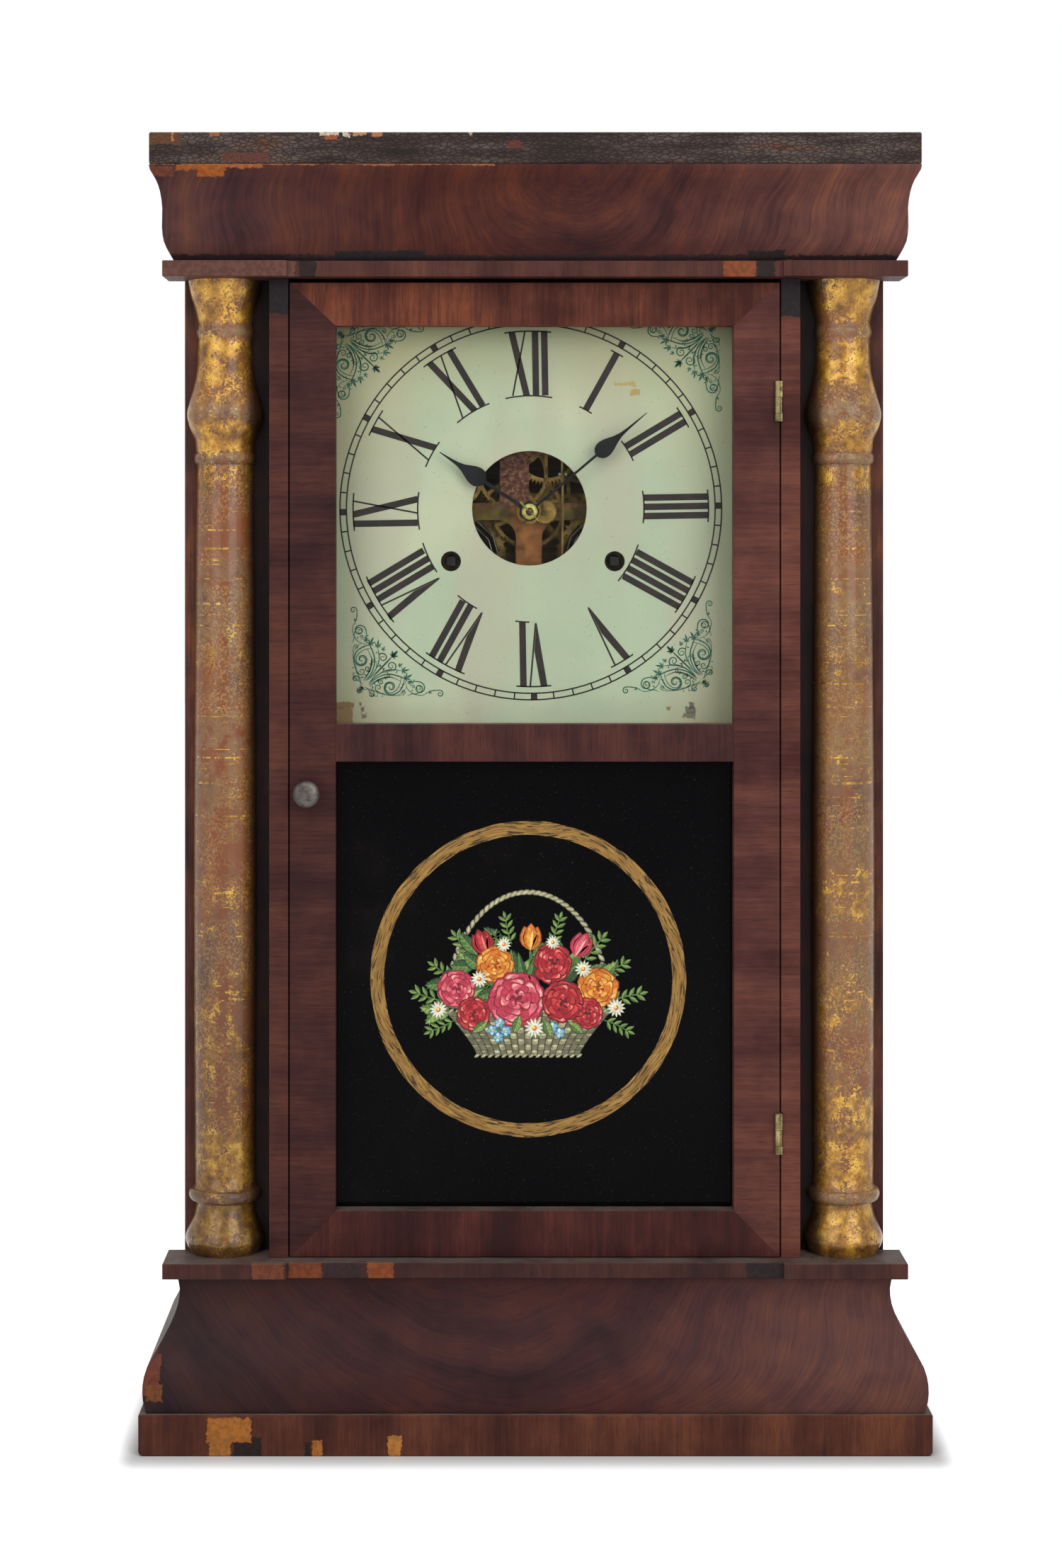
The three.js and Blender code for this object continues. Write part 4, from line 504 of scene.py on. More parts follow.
def movement_plate(name):
    """Tarnished brass: reddened above the hub, orange-brown below it, olive to its sides and dark round it"""
    f = Finish(name, roughness=0.5, metallic=0.5, specular=0.3)
    beside, up = f.beside(HUB)
    mottle = f.noise(420.0, detail=5.0, roughness=0.7)
    clouds = f.noise(150.0, detail=4.0)
    red = f.ramp(mottle, [(0.38, (54, 31, 29)), (0.5, (92, 54, 44)), (0.62, (134, 95, 63))])
    brown = f.ramp(clouds, [(0.36, (88, 51, 27)), (0.64, (144, 93, 49))])
    olive = f.ramp(clouds, [(0.36, (56, 45, 19)), (0.64, (108, 87, 38))])
    above = f.fade(up, RED_EDGES)
    sides = f.product(f.fade(f.calc("ABSOLUTE", beside), OLIVE_EDGES), f.inverse(above))
    colour = f.mix(sides, f.mix(above, brown, red), olive)
    out = f.weighed((f.distance(beside, up), 1.0), (mottle, HUB_WAVER * MM))
    f.set(colour=f.mix(f.fade(out, HUB_EDGES, 0.85, 0.0), colour, (30, 22, 22)))
    f.bump(mottle, FIBRE_DEPTH, 0.5)
    return f.material


def washer_brass(name):
    """Bright brass, its middle painted dark for the arbor's end and the shade round it, with the pin across
    it
    """
    f = Finish(name, roughness=0.42, metallic=0.5, specular=0.4)
    beside, up = f.beside(HUB)
    clouds = f.noise(500.0, detail=3.0)
    brass = f.ramp(clouds, [(0.36, (150, 134, 62)), (0.6, (206, 192, 106))])
    # The dark middle is painted onto the washer: the arbor's end and painted shade round it
    end = f.ramp(clouds, [(0.4, (44, 38, 42)), (0.6, (96, 90, 96))])
    off_pin = f.calc("ABSOLUTE", f.calc("ADD", f.product(beside, 0.66), f.product(up, 0.75)))
    colour = f.mix(f.fade(f.distance(beside, up), ARBOR_END_AND_SHADE_EDGES, 1.0, 0.0), brass, end)
    f.set(colour=f.mix(f.fade(off_pin, PIN_EDGES, 1.0, 0.0), colour, (150, 132, 84)))
    f.bump(clouds, PORE_DEPTH, 0.5)
    return f.material


def painted_dial(name):
    """Old pale paint, yellowed towards the upper corners, with chips at the lower ones, and painted shade
    towards its left and right sides
    """
    f = Finish(name, roughness=0.45, specular=0.2)
    tint = f.noise(17.0, detail=3.0)
    colour = f.ramp(tint, [(0.32, (195, 206, 177)), (0.5, (203, 213, 184)), (0.66, (218, 219, 189))])
    upright = f.noise(24.0, f.stretched((1, 1, 0.2)), detail=2.0)
    colour = f.mix(f.between(upright, 0.47, 0.62, 0.0, 0.75), colour, (206, 200, 176))
    across, up = f.beside((HUB[0], HUB[1] - YELLOWED_DROP))
    bands = f.noise(80.0, f.stretched((0.1, 1, 1)), detail=3.0)
    yellowed = f.product(f.fade(f.distance(across, up), YELLOWED_EDGES), f.weighed((bands, 0.9), (tint, 0.5)))
    colour = f.mix(yellowed, colour, (196, 188, 140))
    # Painted shade: darker towards the left and right, where the door's frame shades the dial
    colour = f.mix(f.fade(f.calc("ABSOLUTE", across), SHADED_SIDE_EDGES, 0.0, 0.22), colour, (128, 130, 108))
    specks = f.between(f.noise(900.0, detail=1.0), 0.71, 0.75, 0.0, 0.35)
    colour = f.mix(specks, colour, (120, 105, 80))
    for centre, half, tone in DIAL_CHIPS:
        colour = f.mix(f.product(f.patch(centre, half, 0.0), 0.85), colour, tone)
    f.set(colour=colour)
    f.bump(f.noise(260.0, detail=3.0), FIBRE_DEPTH, 0.4)
    return f.material


def flat_paint(name, tone, roughness=0.5, worn=0.0, second=None, grain=160.0):
    """Ink or paint with a little unevenness, thinning to a second tone where it is worn"""
    f = Finish(name, roughness=roughness, specular=0.3)
    uneven = f.noise(grain, detail=5.0, roughness=0.7)
    other = second or tuple(min(255, part * 1.2 + 4) for part in tone)
    colour = f.mix(f.between(uneven, 0.38, 0.62), tone, other)
    if worn:
        specks = f.noise(1500.0, detail=2.0)
        colour = f.mix(f.between(specks, 0.72, 0.76, 0.0, worn), colour, (170, 160, 135))
    f.set(colour=colour)
    f.bump(uneven, SCRATCH_DEPTH, 0.5)
    return f.material


def old_metal(name, tones, roughness, metallic, specular):
    """Metal with cloudy tarnish, fine scratches and dirt"""
    f = Finish(name, metallic=metallic, specular=specular)
    clouds = f.noise(90.0, detail=5.0, roughness=0.65)
    scratches = f.noise(1100.0, f.stretched((1, 1, 0.08)), detail=3.0)
    dark, middle, light = tones
    colour = f.ramp(clouds, [(0.34, dark), (0.5, middle), (0.66, light)])
    grime = f.between(f.noise(320.0, detail=4.0), 0.52, 0.68, 0.0, 0.75)
    f.set(
        colour=f.mix(grime, colour, (30, 22, 18)),
        roughness=f.between(clouds, 0.3, 0.7, roughness + 0.15, roughness - 0.08),
    )
    f.bump(scratches, SCRATCH_DEPTH, 0.5)
    f.bump(clouds, TARNISH_DEPTH, 0.4)
    return f.material


def brushed_gold(name):
    """Gold paint laid round a ring with a brush, with dark gaps between its hairs"""
    f = Finish(name, roughness=0.45, metallic=0.2, specular=0.25)
    along = f.stretched((1, 0.09, 1), f.rings(TABLET_CENTRE, TABLET_FRONT))
    hairs = f.noise(900.0, along, detail=4.0, roughness=0.7)
    strokes = f.noise(1500.0, along, detail=2.0)
    colour = f.ramp(hairs, [(0.3, (104, 76, 34)), (0.5, (146, 110, 54)), (0.7, (176, 138, 74))])
    out = f.distance(*f.from_point(TABLET_CENTRE, TABLET_FRONT))
    off_middle = f.calc("ABSOLUTE", f.calc("SUBTRACT", out, RING_MIDDLE * MM))
    worn = f.weighed((strokes, 1.0), (off_middle, EDGE_WEAR))
    f.set(colour=f.mix(f.between(worn, 0.595, 0.62, 0.0, 0.88), colour, (38, 28, 18)))
    f.bump(hairs, SCRATCH_DEPTH, 0.5)
    return f.material


def shader_mix(tree, share, first, second):
    """Two shaders mixed by a share that runs from 0 to 1"""
    node = tree.nodes.new("ShaderNodeMixShader")
    for socket, source in zip(node.inputs, (share, first, second)):
        tree.links.new(source, socket)
    return node.outputs[0]


def window_glass(name):
    """Clear glass: see-through, with a faint mirror layer"""
    f = Finish(name)
    clear = f.add("ShaderNodeBsdfTransparent", {"Color": (0.95, 0.965, 0.955, 1)})
    shine = f.add("ShaderNodeBsdfGlossy", {"Roughness": 0.03})
    bump = f.add("ShaderNodeBump", {"Distance": GLASS_WAVER * MM})
    f.link(f.noise(10.0, detail=1.0), bump.inputs["Height"])
    f.link(bump.outputs[0], shine.inputs["Normal"])
    fresnel = f.add("ShaderNodeFresnel", {"IOR": 1.15})
    mixed = shader_mix(f.tree, fresnel.outputs[0], clear.outputs[0], shine.outputs[0])
    f.tree.nodes.remove(f.surface)
    f.link(mixed, f.output.inputs["Surface"])
    return f.material


def black_glass(name):
    """Glass painted black behind"""
    f = Finish(name, roughness=0.12, specular=0.03)
    dust = f.noise(1400.0, detail=1.0)
    cloud = f.noise(12.0, detail=4.0, roughness=0.6)
    colour = f.ramp(cloud, [(0.3, (6, 5, 7)), (0.6, (9, 8, 10)), (0.75, (22, 18, 18))])
    f.set(colour=f.mix(f.between(dust, 0.73, 0.77, 0.0, 0.3), colour, (100, 90, 80)))
    return f.material


BARE = (168, 104, 48)
STAIN = (44, 33, 31)
# Patches of bared or replaced wood, stains and chips of paint, and on the cornice a band of painted shade and
# dirt: the middle, half the width and height, and the colour
TOP_CHIPS = (
    ((-179, 632), (8, 3), (94, 62, 44)), ((-139, 623), (11, 2.4), (92, 56, 48)),
    ((-10, 629), (3, 1.6), (96, 52, 40)), ((-174.5, 633), (0.5, 2.4), (176, 116, 66)),
    ((-154, 634), (2.4, 0.9), (156, 92, 52)), ((-98, 632.4), (3, 1), (150, 84, 50)),
    ((-99, 634.2), (4.4, 0.7), (206, 188, 164)), ((-91, 633.8), (1.4, 0.9), (206, 188, 164)),
    ((-84, 634.2), (3, 0.7), (178, 132, 96)), ((-76, 633.8), (2.4, 1.1), (176, 116, 76)),
    ((-31, 634), (0.6, 0.8), (190, 160, 130)),
)
DIAL_CHIPS = (
    ((-94, 352), (4.4, 4), (158, 116, 72)), ((-93, 357.4), (4.6, 1.6), (150, 104, 66)),
    ((-85.8, 357.4), (0.8, 1.4), (92, 78, 66)), ((-84.9, 354.8), (1.2, 1.6), (112, 94, 76)),
    ((-84, 352), (1.6, 1.6), (128, 106, 84)), ((76.6, 352.4), (3, 1.2), (118, 110, 98)),
    ((77.4, 354.8), (2.2, 1.4), (112, 104, 94)), ((78.2, 357.2), (1.1, 1.2), (96, 90, 82)),
    ((66.6, 355.4), (0.8, 0.6), (150, 110, 70)),
    ((45, 516), (5, 1), (204, 170, 98)), ((50, 512), (2, 1), (196, 160, 96)),
)
PLINTH_PATCHES = (
    ((-138, 4.5), (7, 5), STAIN), ((-147, 13), (10.5, 6), BARE), ((-151, 4), (5, 6), (164, 106, 52)),
    ((-105, 4), (2.6, 4), BARE), ((-109, 3), (1.5, 4), STAIN), ((-67.5, 4.4), (3, 5), (180, 118, 58)),
)
LOWER_SHELF_PATCHES = (
    ((-129, 86), (7.5, 6), (112, 64, 46)), ((-111, 86), (8, 6), (118, 62, 40)),
    ((-93, 86), (9, 6), (54, 38, 40)), ((-74.5, 86), (6, 6), (136, 72, 42)),
    ((111, 86), (9, 6), (44, 34, 34)),
)
UPPER_SHELF_PATCHES = (
    ((-154, 570), (38, 6), (101, 68, 59)), ((-110, 570), (4, 6), STAIN), ((99, 570), (8, 6), (134, 74, 46)),
    ((111.5, 570), (4.5, 6), STAIN),
)
# The cornice's first patch, a dark band along its whole foot above the upper shelf, is painted shade and dirt
CORNICE_PATCHES_AND_SHADE = (
    ((0, 575.4), (182, 1.5), (44, 30, 30)), ((112, 576.6), (9, 2.4), (34, 26, 26)),
    ((-75, 576.4), (22, 2.4), (34, 28, 30)), ((-182, 616.4), (8, 2.4), (112, 62, 46)),
    ((-161, 618.4), (12, 1.7), (158, 88, 42)), ((-156, 616.2), (6.6, 2.8), (164, 90, 40)),
    ((-140, 619.2), (9, 1.2), (166, 92, 44)), ((-105, 619.7), (85, 0.5), (150, 94, 62)),
)
BASE_PATCHES = (
    ((-185, 38), (5, 9), (108, 58, 46)), ((-183, 30), (4, 4), (118, 72, 44)),
    ((-184, 50), (2.6, 6), (96, 54, 46)),
)
JAMB_PATCHES = (((-125, 558), (9, 9), (40, 34, 36)), ((125, 557), (9, 9), (40, 34, 36)))
# Tints of the two mouldings at distances along X: painted shade, darkest towards the left and none at the
# right end, with some change of hue
CORNICE_SHADE_TINTS = (
    (-190, (188, 190, 208)), (-110, (168, 152, 162)), (-45, (180, 148, 140)), (20, (158, 136, 142)),
    (80, (188, 168, 174)), (190, (255, 255, 255)),
)
BASE_SHADE_TINTS = ((-190, (150, 158, 172)), (-90, (164, 146, 156)), (40, (186, 162, 170)), (140, (248, 238, 240)))
# Each veneer's grain, its colours from its dark bands to its light ones, and what else sets it apart
VENEERS = {
    # The left stile is given darker tones than the right one: painted shade, the left side being less lit
    "stile_left": ("x", ((40, 20, 20), (61, 34, 32), (82, 47, 40)), {}),
    "stile_right": ("x", ((58, 30, 29), (84, 48, 44), (107, 63, 53)), {}),
    "rail_top": ("z", ((62, 28, 23), (92, 49, 38), (124, 68, 46)), {"contrast": 1.2}),
    "rail_middle": ("z", ((44, 23, 23), (66, 38, 36), (88, 50, 43)), {}),
    "rail_bottom": ("z", ((43, 20, 19), (65, 32, 29), (90, 46, 39)), {}),
    "side": ("z", ((50, 30, 30), (82, 50, 42), (118, 70, 46)), {"contrast": 1.1}),
    # The left jamb is given darker tones than the right one: painted shade, the left side being less lit
    "jamb_left": ("x", ((48, 24, 23), (73, 41, 37), (93, 54, 44)), {"patches": JAMB_PATCHES}),
    "jamb_right": ("x", ((64, 31, 28), (95, 54, 46), (118, 70, 56)), {"patches": JAMB_PATCHES}),
    "base": ("x", ((58, 40, 43), (90, 60, 56), (116, 76, 60)), {
        "centre": (-24, 139), "shade_tints": BASE_SHADE_TINTS, "patches": BASE_PATCHES, "contrast": 0.9,
        "behind": behind_front("base_moulding", CURVE_DEPTH),
    }),
    "cornice": ("x", ((73, 44, 44), (111, 71, 62), (146, 92, 64)), {
        "centre": (14, 621), "shade_tints": CORNICE_SHADE_TINTS, "patches": CORNICE_PATCHES_AND_SHADE,
        "behind": behind_front("cornice_moulding", CURVE_DEPTH),
    }),
    "plinth": ("z", ((56, 29, 25), (82, 45, 35), (107, 62, 43)), {
        "roughness": 0.55, "patches": PLINTH_PATCHES, "behind": behind_front("plinth"),
    }),
    "lower_shelf": ("z", ((47, 29, 28), (66, 40, 37), (86, 53, 43)), {
        "patches": LOWER_SHELF_PATCHES, "behind": behind_front("lower_shelf"),
    }),
    "upper_shelf": ("z", ((61, 35, 31), (81, 48, 42), (100, 61, 49)), {
        "patches": UPPER_SHELF_PATCHES, "behind": behind_front("upper_shelf"),
    }),
}
# Each metal's material, its colours, its roughness and its shares of metal and of shine
METALS = {
    "iron": ("blued_hands", ((12, 12, 15), (20, 20, 24), (34, 34, 38)), 0.45, 0.1, 0.15),
    "brass": ("old_brass", ((74, 56, 24), (120, 92, 42), (158, 126, 64)), 0.38, 0.7, 0.5),
    # The winding arbors' steel is a darker copy of the steel: painted shade, for their place deep in the
    # winding holes
    "shade_darkened_steel": ("arbor_steel_darkened_for_shade", ((18, 15, 14), (36, 31, 29), (66, 60, 56)), 0.45, 0.5, 0.3),
    "steel": ("old_steel", ((70, 66, 62), (112, 108, 102), (150, 146, 140)), 0.38, 0.9, 0.5),
    "knob": ("knob_metal", ((66, 60, 58), (98, 92, 86), (128, 120, 112)), 0.5, 0.5, 0.5),
    "hinge": ("hinge_brass", ((92, 80, 50), (138, 124, 84), (170, 156, 112)), 0.5, 0.7, 0.5),
    "black": ("black_iron", ((22, 20, 20), (38, 34, 32), (60, 52, 46)), 0.6, 0.4, 0.5),
}


def make_looks():
    """Every material of the clock, by the word that the pieces ask for"""
    looks = {kind: old_metal(*metal) for kind, metal in METALS.items()}
    for kind, (grain, tones, more) in VENEERS.items():
        looks[kind] = veneer(f"veneer_{kind}", grain, tones, **more)
    return looks | {
        "column_board": veneer("dark_column_board", "z", ((20, 15, 15), (32, 23, 23), (50, 32, 28)), 0.6),
        "top": crackled_wood("crackled_top"),
        "back": plain_wood("back_boards", "z", ((88, 62, 40), (134, 100, 64), (164, 128, 86))),
        "inside": plain_wood("inside_boards", "x", ((70, 48, 32), (104, 76, 50), (130, 100, 68))),
        "gilt": worn_gilding("worn_gilding"),
        "dial": painted_dial("painted_dial"),
        "ink": flat_paint("numeral_ink", (22, 16, 14), worn=0.5, second=(46, 28, 27)),
        "green": flat_paint("corner_green", (17, 82, 66), second=(34, 108, 86)),
        "glass": window_glass("clear_glass"),
        "tablet": black_glass("black_glass"),
        "ring": brushed_gold("ring_gold"),
        "plate_brass": movement_plate("reddened_brass"),
        "bright_brass": washer_brass("bright_brass"),
    }


look = make_looks()


# MESH HELPERS

# Places nearer than this become one, and faces that meet at less than this angle become one
WELD = 0.002
COPY_WELD = 0.003
FLAT_ANGLE = 0.5


def placed(name, mesh, materials, body):
    """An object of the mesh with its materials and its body"""
    piece = bpy.data.objects.new(name, mesh)
    bpy.context.scene.collection.objects.link(piece)
    for material in materials:
        mesh.materials.append(material)
    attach(piece, body)
    return piece


def new_piece(name, vertices, faces, kind, body, crease):
    """A piece from places in millimetres, smooth except along edges sharper than crease degrees"""
    mesh = bpy.data.meshes.new(name)
    mesh.from_pydata([tuple(c * MM for c in v) for v in vertices], [], faces)
    shape = bmesh.new()
    shape.from_mesh(mesh)
    bmesh.ops.remove_doubles(shape, verts=shape.verts, dist=WELD * MM)
    bmesh.ops.recalc_face_normals(shape, faces=shape.faces)
    for face in shape.faces:
        face.smooth = True
    for edge in shape.edges:
        edge.smooth = edge.calc_face_angle(0.0) < math.radians(crease)
    shape.to_mesh(mesh)
    shape.free()
    return placed(name, mesh, [look[kind]], body)


def round_edges(piece, width, angle, harden=False):
    rounding = piece.modifiers.new("rounded_edges", "BEVEL")
    rounding.width = width * MM
    rounding.segments = 2
    rounding.limit_method = "ANGLE"
    rounding.angle_limit = math.radians(angle)
    rounding.harden_normals = harden


def dressed(node, kind, bevel=0.0, crease=30):
    """A copy of a CAD node's shape with welded corners, smooth curves and slightly rounded edges"""
    source = nodes[node]
    shape = bmesh.new()
    shape.from_mesh(source.data)
    bmesh.ops.remove_doubles(shape, verts=shape.verts, dist=COPY_WELD * MM)
    flat = math.radians(FLAT_ANGLE)
    bmesh.ops.dissolve_limit(shape, angle_limit=flat, verts=shape.verts, edges=shape.edges)
    shape.verts.index_update()
    vertices = [tuple(v.co / MM) for v in shape.verts]
    faces = [[v.index for v in face.verts] for face in shape.faces]
    shape.free()
    piece = new_piece(node + "_shown", vertices, faces, kind, source["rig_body"], crease)
    if bevel:
        round_edges(piece, bevel, crease, harden=True)
    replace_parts(piece, node)


def walls(start, count, gap):
    """The faces between a closed loop of places and the same loop that lies gap places further on"""
    for k in range(count):
        n = (k + 1) % count
        yield start + k, start + n, start + gap + n, start + gap + k


def layered_pieces(name, layers, setback, materials, body):
    """Thin flat shapes that face the front: outlines of (x, z) with their thickness and material's number"""
    vertices, faces, numbers = [], [], []
    for outline, thickness, number in layers:
        start, count, earlier = len(vertices), len(outline), len(faces)
        for depth in (setback - thickness, setback):
            vertices += [(x * MM, along_y(depth) * MM, z * MM) for x, z in outline]
        for a, b, c in geometry.tessellate_polygon([[Vector((x, z, 0)) for x, z in outline]]):
            faces.append((start + a, start + b, start + c))
            faces.append((start + count + c, start + count + b, start + count + a))
        faces += walls(start, count, count)
        numbers += [number] * (len(faces) - earlier)
    mesh = bpy.data.meshes.new(name)
    mesh.from_pydata(vertices, [], faces)
    for face, number in zip(mesh.polygons, numbers):
        face.material_index = number
    shape = bmesh.new()
    shape.from_mesh(mesh)
    bmesh.ops.recalc_face_normals(shape, faces=shape.faces)
    shape.to_mesh(mesh)
    shape.free()
    placed(name, mesh, materials, body)


def flat_pieces(name, outlines, setback, kind, body):
    layered_pieces(name, [(outline, INK, 0) for outline in outlines], setback, [look[kind]], body)


def smooth_line(points, steps=6):
    """Points on a curve that runs through all the given points"""
    ends = [points[0], *points, points[-1]]
    line = []
    for i in range(1, len(ends) - 2):
        p0, p1, p2, p3 = (Vector(p) for p in ends[i - 1:i + 3])
        for k in range(steps):
            t = k / steps
            line.append(0.5 * (2 * p1 + (p2 - p0) * t + (2 * p0 - 5 * p1 + 4 * p2 - p3) * t * t
                               + (3 * p1 - p0 - 3 * p2 + p3) * t ** 3))
    return [tuple(p) for p in line] + [tuple(points[-1])]


# CASE

# Each board's node, its look, its slot and how wide its edges are rounded
BOARDS = (
    ("plinth", "plinth", "veneer", 0.9), ("base_moulding", "base", "veneer", 0.4),
    ("lower_shelf", "lower_shelf", "veneer", 0.4), ("upper_shelf", "upper_shelf", "veneer", 0.4),
    ("cornice_moulding", "cornice", "dark_wood", 0.4), ("top_board", "top", "dark_wood", 0.8),
    ("case_floor", "inside", "pine", 0.3), ("back_board", "back", "pine", 0.4),
    ("case_side_left", "side", "veneer", 0.6), ("case_side_right", "side", "veneer", 0.6),
    ("column_board_left", "column_board", "dark_wood", 0.3),
    ("column_board_right", "column_board", "dark_wood", 0.3),
    ("door_jamb_left", "jamb_left", "veneer", 0.4), ("door_jamb_right", "jamb_right", "veneer", 0.4),
    ("movement_board", "inside", "pine", 0.5),
)
# The column's outline as heights above its foot and radii, in runs that are smooth within themselves
COLUMN_OUTLINE = (
    ((0, 17.0), (3, 18.6), (6.3, 19.5), (9.3, 19.0), (13.3, 17.4), (18.3, 15.3), (23.3, 14.2), (25, 14.4)),
    ((25.2, 15.6), (26.0, 17.2), (28.4, 18.0), (30.8, 17.4), (31.8, 15.8)),
    ((33.3, 14.9), (120, 15.3), (200, 15.4), (300, 14.6), (386.2, 13.7)),
    ((386.5, 14.2), (388, 15.1), (390.9, 15.0), (392, 14.2)),
    ((393, 14.4), (398.8, 15.2), (404, 17.4), (409.9, 18.8), (414.3, 18.3), (423.3, 15.9), (433.3, 13.8),
     (445.3, 13.3), (448.2, 13.3)),
    ((448.9, 13.6), (451.4, 14.2), (453.9, 13.7)),
    ((455.9, 13.3), (462, 14.6), (469, 16.8), (COLUMN_HEIGHT, 18.2)),
)


def half_column(side, word):
    """A half-round column: the outline swept round the front half, closed flat behind"""
    line = [p for run in COLUMN_OUTLINE for p in smooth_line(run, 5)]
    around = 40
    vertices, faces = [], []
    for height, radius in line:
        for k in range(around + 1):
            turn = math.pi * k / around
            vertices.append((
                side * COLUMN_SPREAD + radius * math.cos(turn),
                along_y(COLUMN_PLANE - radius * math.sin(turn)),
                BAY_FLOOR + height,
            ))
    row = around + 1
    for i in range(len(line) - 1):
        faces += walls(i * row, row, row)
    faces.append(tuple(range(row)))
    faces.append(tuple(reversed(range((len(line) - 1) * row, len(line) * row))))
    piece = new_piece(f"column_{word}_turned", vertices, faces, "gilt", "case", 50)
    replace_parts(piece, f"column_{word}")


def build_case():
    for node, kind, slot, bevel in BOARDS:
        dressed(node, kind, bevel)
    half_column(-1, "left")
    half_column(1, "right")


# DOOR

HINGE_PARTS = (("door_leaf", "hinge", "brass"), ("case_leaf", "hinge", "brass"), ("pin", "steel", "steel"))
# How wide the edges are rounded
FRAME_EDGE = 0.25
TABLET_EDGE = 0.2
HINGE_EDGE = 0.05
LATCH_EDGE = 0.15
# The knob's outline from the middle of its face: radii and distances behind its front
KNOB_OUTLINE = (
    (0, 0.9), (1.0, 0.8), (1.6, 0.25), (2.4, 0), (4.2, 0.15), (5.4, 0.7), (6.2, 1.7), (6.5, 2.8), (6.3, 3.8),
    (5.5, 4.8), (4.4, 5.6), (3.6, 6.6), (3.3, 8.2), (3.6, 10.2), (3.6, 10.7), (1.6, 10.7),
)


def knob():
    """The cast knob: a shallow dished face with a dimple, a rounded rim, a neck and its stem"""
    low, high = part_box("door_knob")
    middle_x, middle_z = (low.x + high.x) / 2 / MM, (low.z + high.z) / 2 / MM
    back = high.y / MM
    outline = [(radius, low.y / MM + behind) for radius, behind in KNOB_OUTLINE]
    outline += [(outline[-1][0], back), (0, back)]
    facets = 48
    vertices, faces = [], []
    for radius, y in outline:
        for k in range(facets):
            turn = 2 * math.pi * k / facets
            vertices.append((middle_x + radius * math.cos(turn), y, middle_z + radius * math.sin(turn)))
    for i in range(len(outline) - 1):
        faces += walls(i * facets, facets, facets)
    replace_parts(new_piece("door_knob_turned", vertices, faces, "knob", "latch", 40), "door_knob")


def build_door():
    for part in ("stile_left", "stile_right", "rail_top", "rail_middle", "rail_bottom"):
        dressed(f"door_{part}", part, FRAME_EDGE)
    dressed("dial_glass", "glass")
    dressed("tablet_glass", "tablet", TABLET_EDGE)
    for level in ("upper", "lower"):
        for part, kind, slot in HINGE_PARTS:
            dressed(f"hinge_{level}_{part}", kind, HINGE_EDGE, 40)
    dressed("latch_tongue", "brass", LATCH_EDGE, 40)
    knob()


# DIAL

NUMERALS = ["I", "II", "III", "IIII", "V", "VI", "VII", "VIII", "IX", "X", "XI", "XII"]
# The print lies a little above and right of the hands' centre, and a little turned (degrees clockwise)
PRINT_CENTRE = (HUB[0] + 0.7, HUB[1] + 1.4)
PRINT_TURN = -1
# The numerals: distances from the dial's middle, then the widths of their strokes, serifs and gaps
NUMERAL_OUTER = 87.9
NUMERAL_INNER = 56.0
BROAD = 3.25
SLANTED = BROAD + 0.1
FINE = 0.86
SERIF = 0.74
SERIF_REACH = 1.9
LINE = 0.72
STROKE_GAP = 1.3
ADVANCE = {"I": BROAD, "V": 9.0, "X": 10.4}
# Where a V's point lies, how its fine stroke is set off there, and how high the two strokes part
V_POINT = 4.9
V_FINE_STEPS = (0.1, 0.3, 1)
V_JOIN = 1.35
V_JOIN_SHARE = 0.45
# How far an X's fine stroke stands in from the letter's sides, at its foot and its head
X_INSETS = (1.4, 1.6)
# The minute track's two circles, and half the width of a mark on it at each five minutes
MINUTE_TRACK = (91.2, 94.4)
TRACK_MIDDLE = 93
FIVE_MINUTE_HALF = 1.6
# How much broader the scrolls are drawn than their tables say
SCROLL_WEIGHT = 1.3
HAND_THICKNESS = 0.8
HAND_CHAMFER = 0.14
DIAL_EDGE = 0.15
WASHER_EDGE = 0.08
# Half of each hand's outline: distances from its pivot and half widths
MINUTE_HAND = (
    (1.6, 3.05), (2.4, 2.2), (3.2, 0.9), (5.0, 0.62), (24, 0.6), (42.9, 0.62), (43.4, 1.9), (44.6, 3.3),
    (46.4, 4.1), (48.2, 4.2), (50.4, 3.8), (52.6, 3.0), (55.2, 1.95), (58.6, 1.05), (63, 0.62), (69, 0.42),
    (75.6, 0.16),
)
HOUR_HAND = (
    (2.6, 4.6), (3.6, 3.7), (4.6, 1.5), (7, 0.85), (18, 0.8), (26.4, 0.9), (26.9, 2.3), (28.2, 3.9),
    (30, 4.7), (32, 4.75), (34.4, 4.1), (36.8, 3.0), (39.4, 1.8), (42.6, 1.0), (47, 0.6), (53.2, 0.2),
)
# Each hand's node, outline, hole's radius, setback, angle clockwise from the top, and body
HANDS = (
    ("minute_hand", MINUTE_HAND, 1.35, 36, 49.9, "centre_arbor"),
    ("hour_hand", HOUR_HAND, 3.1, 38, 303.5, "hour_pipe"),
)


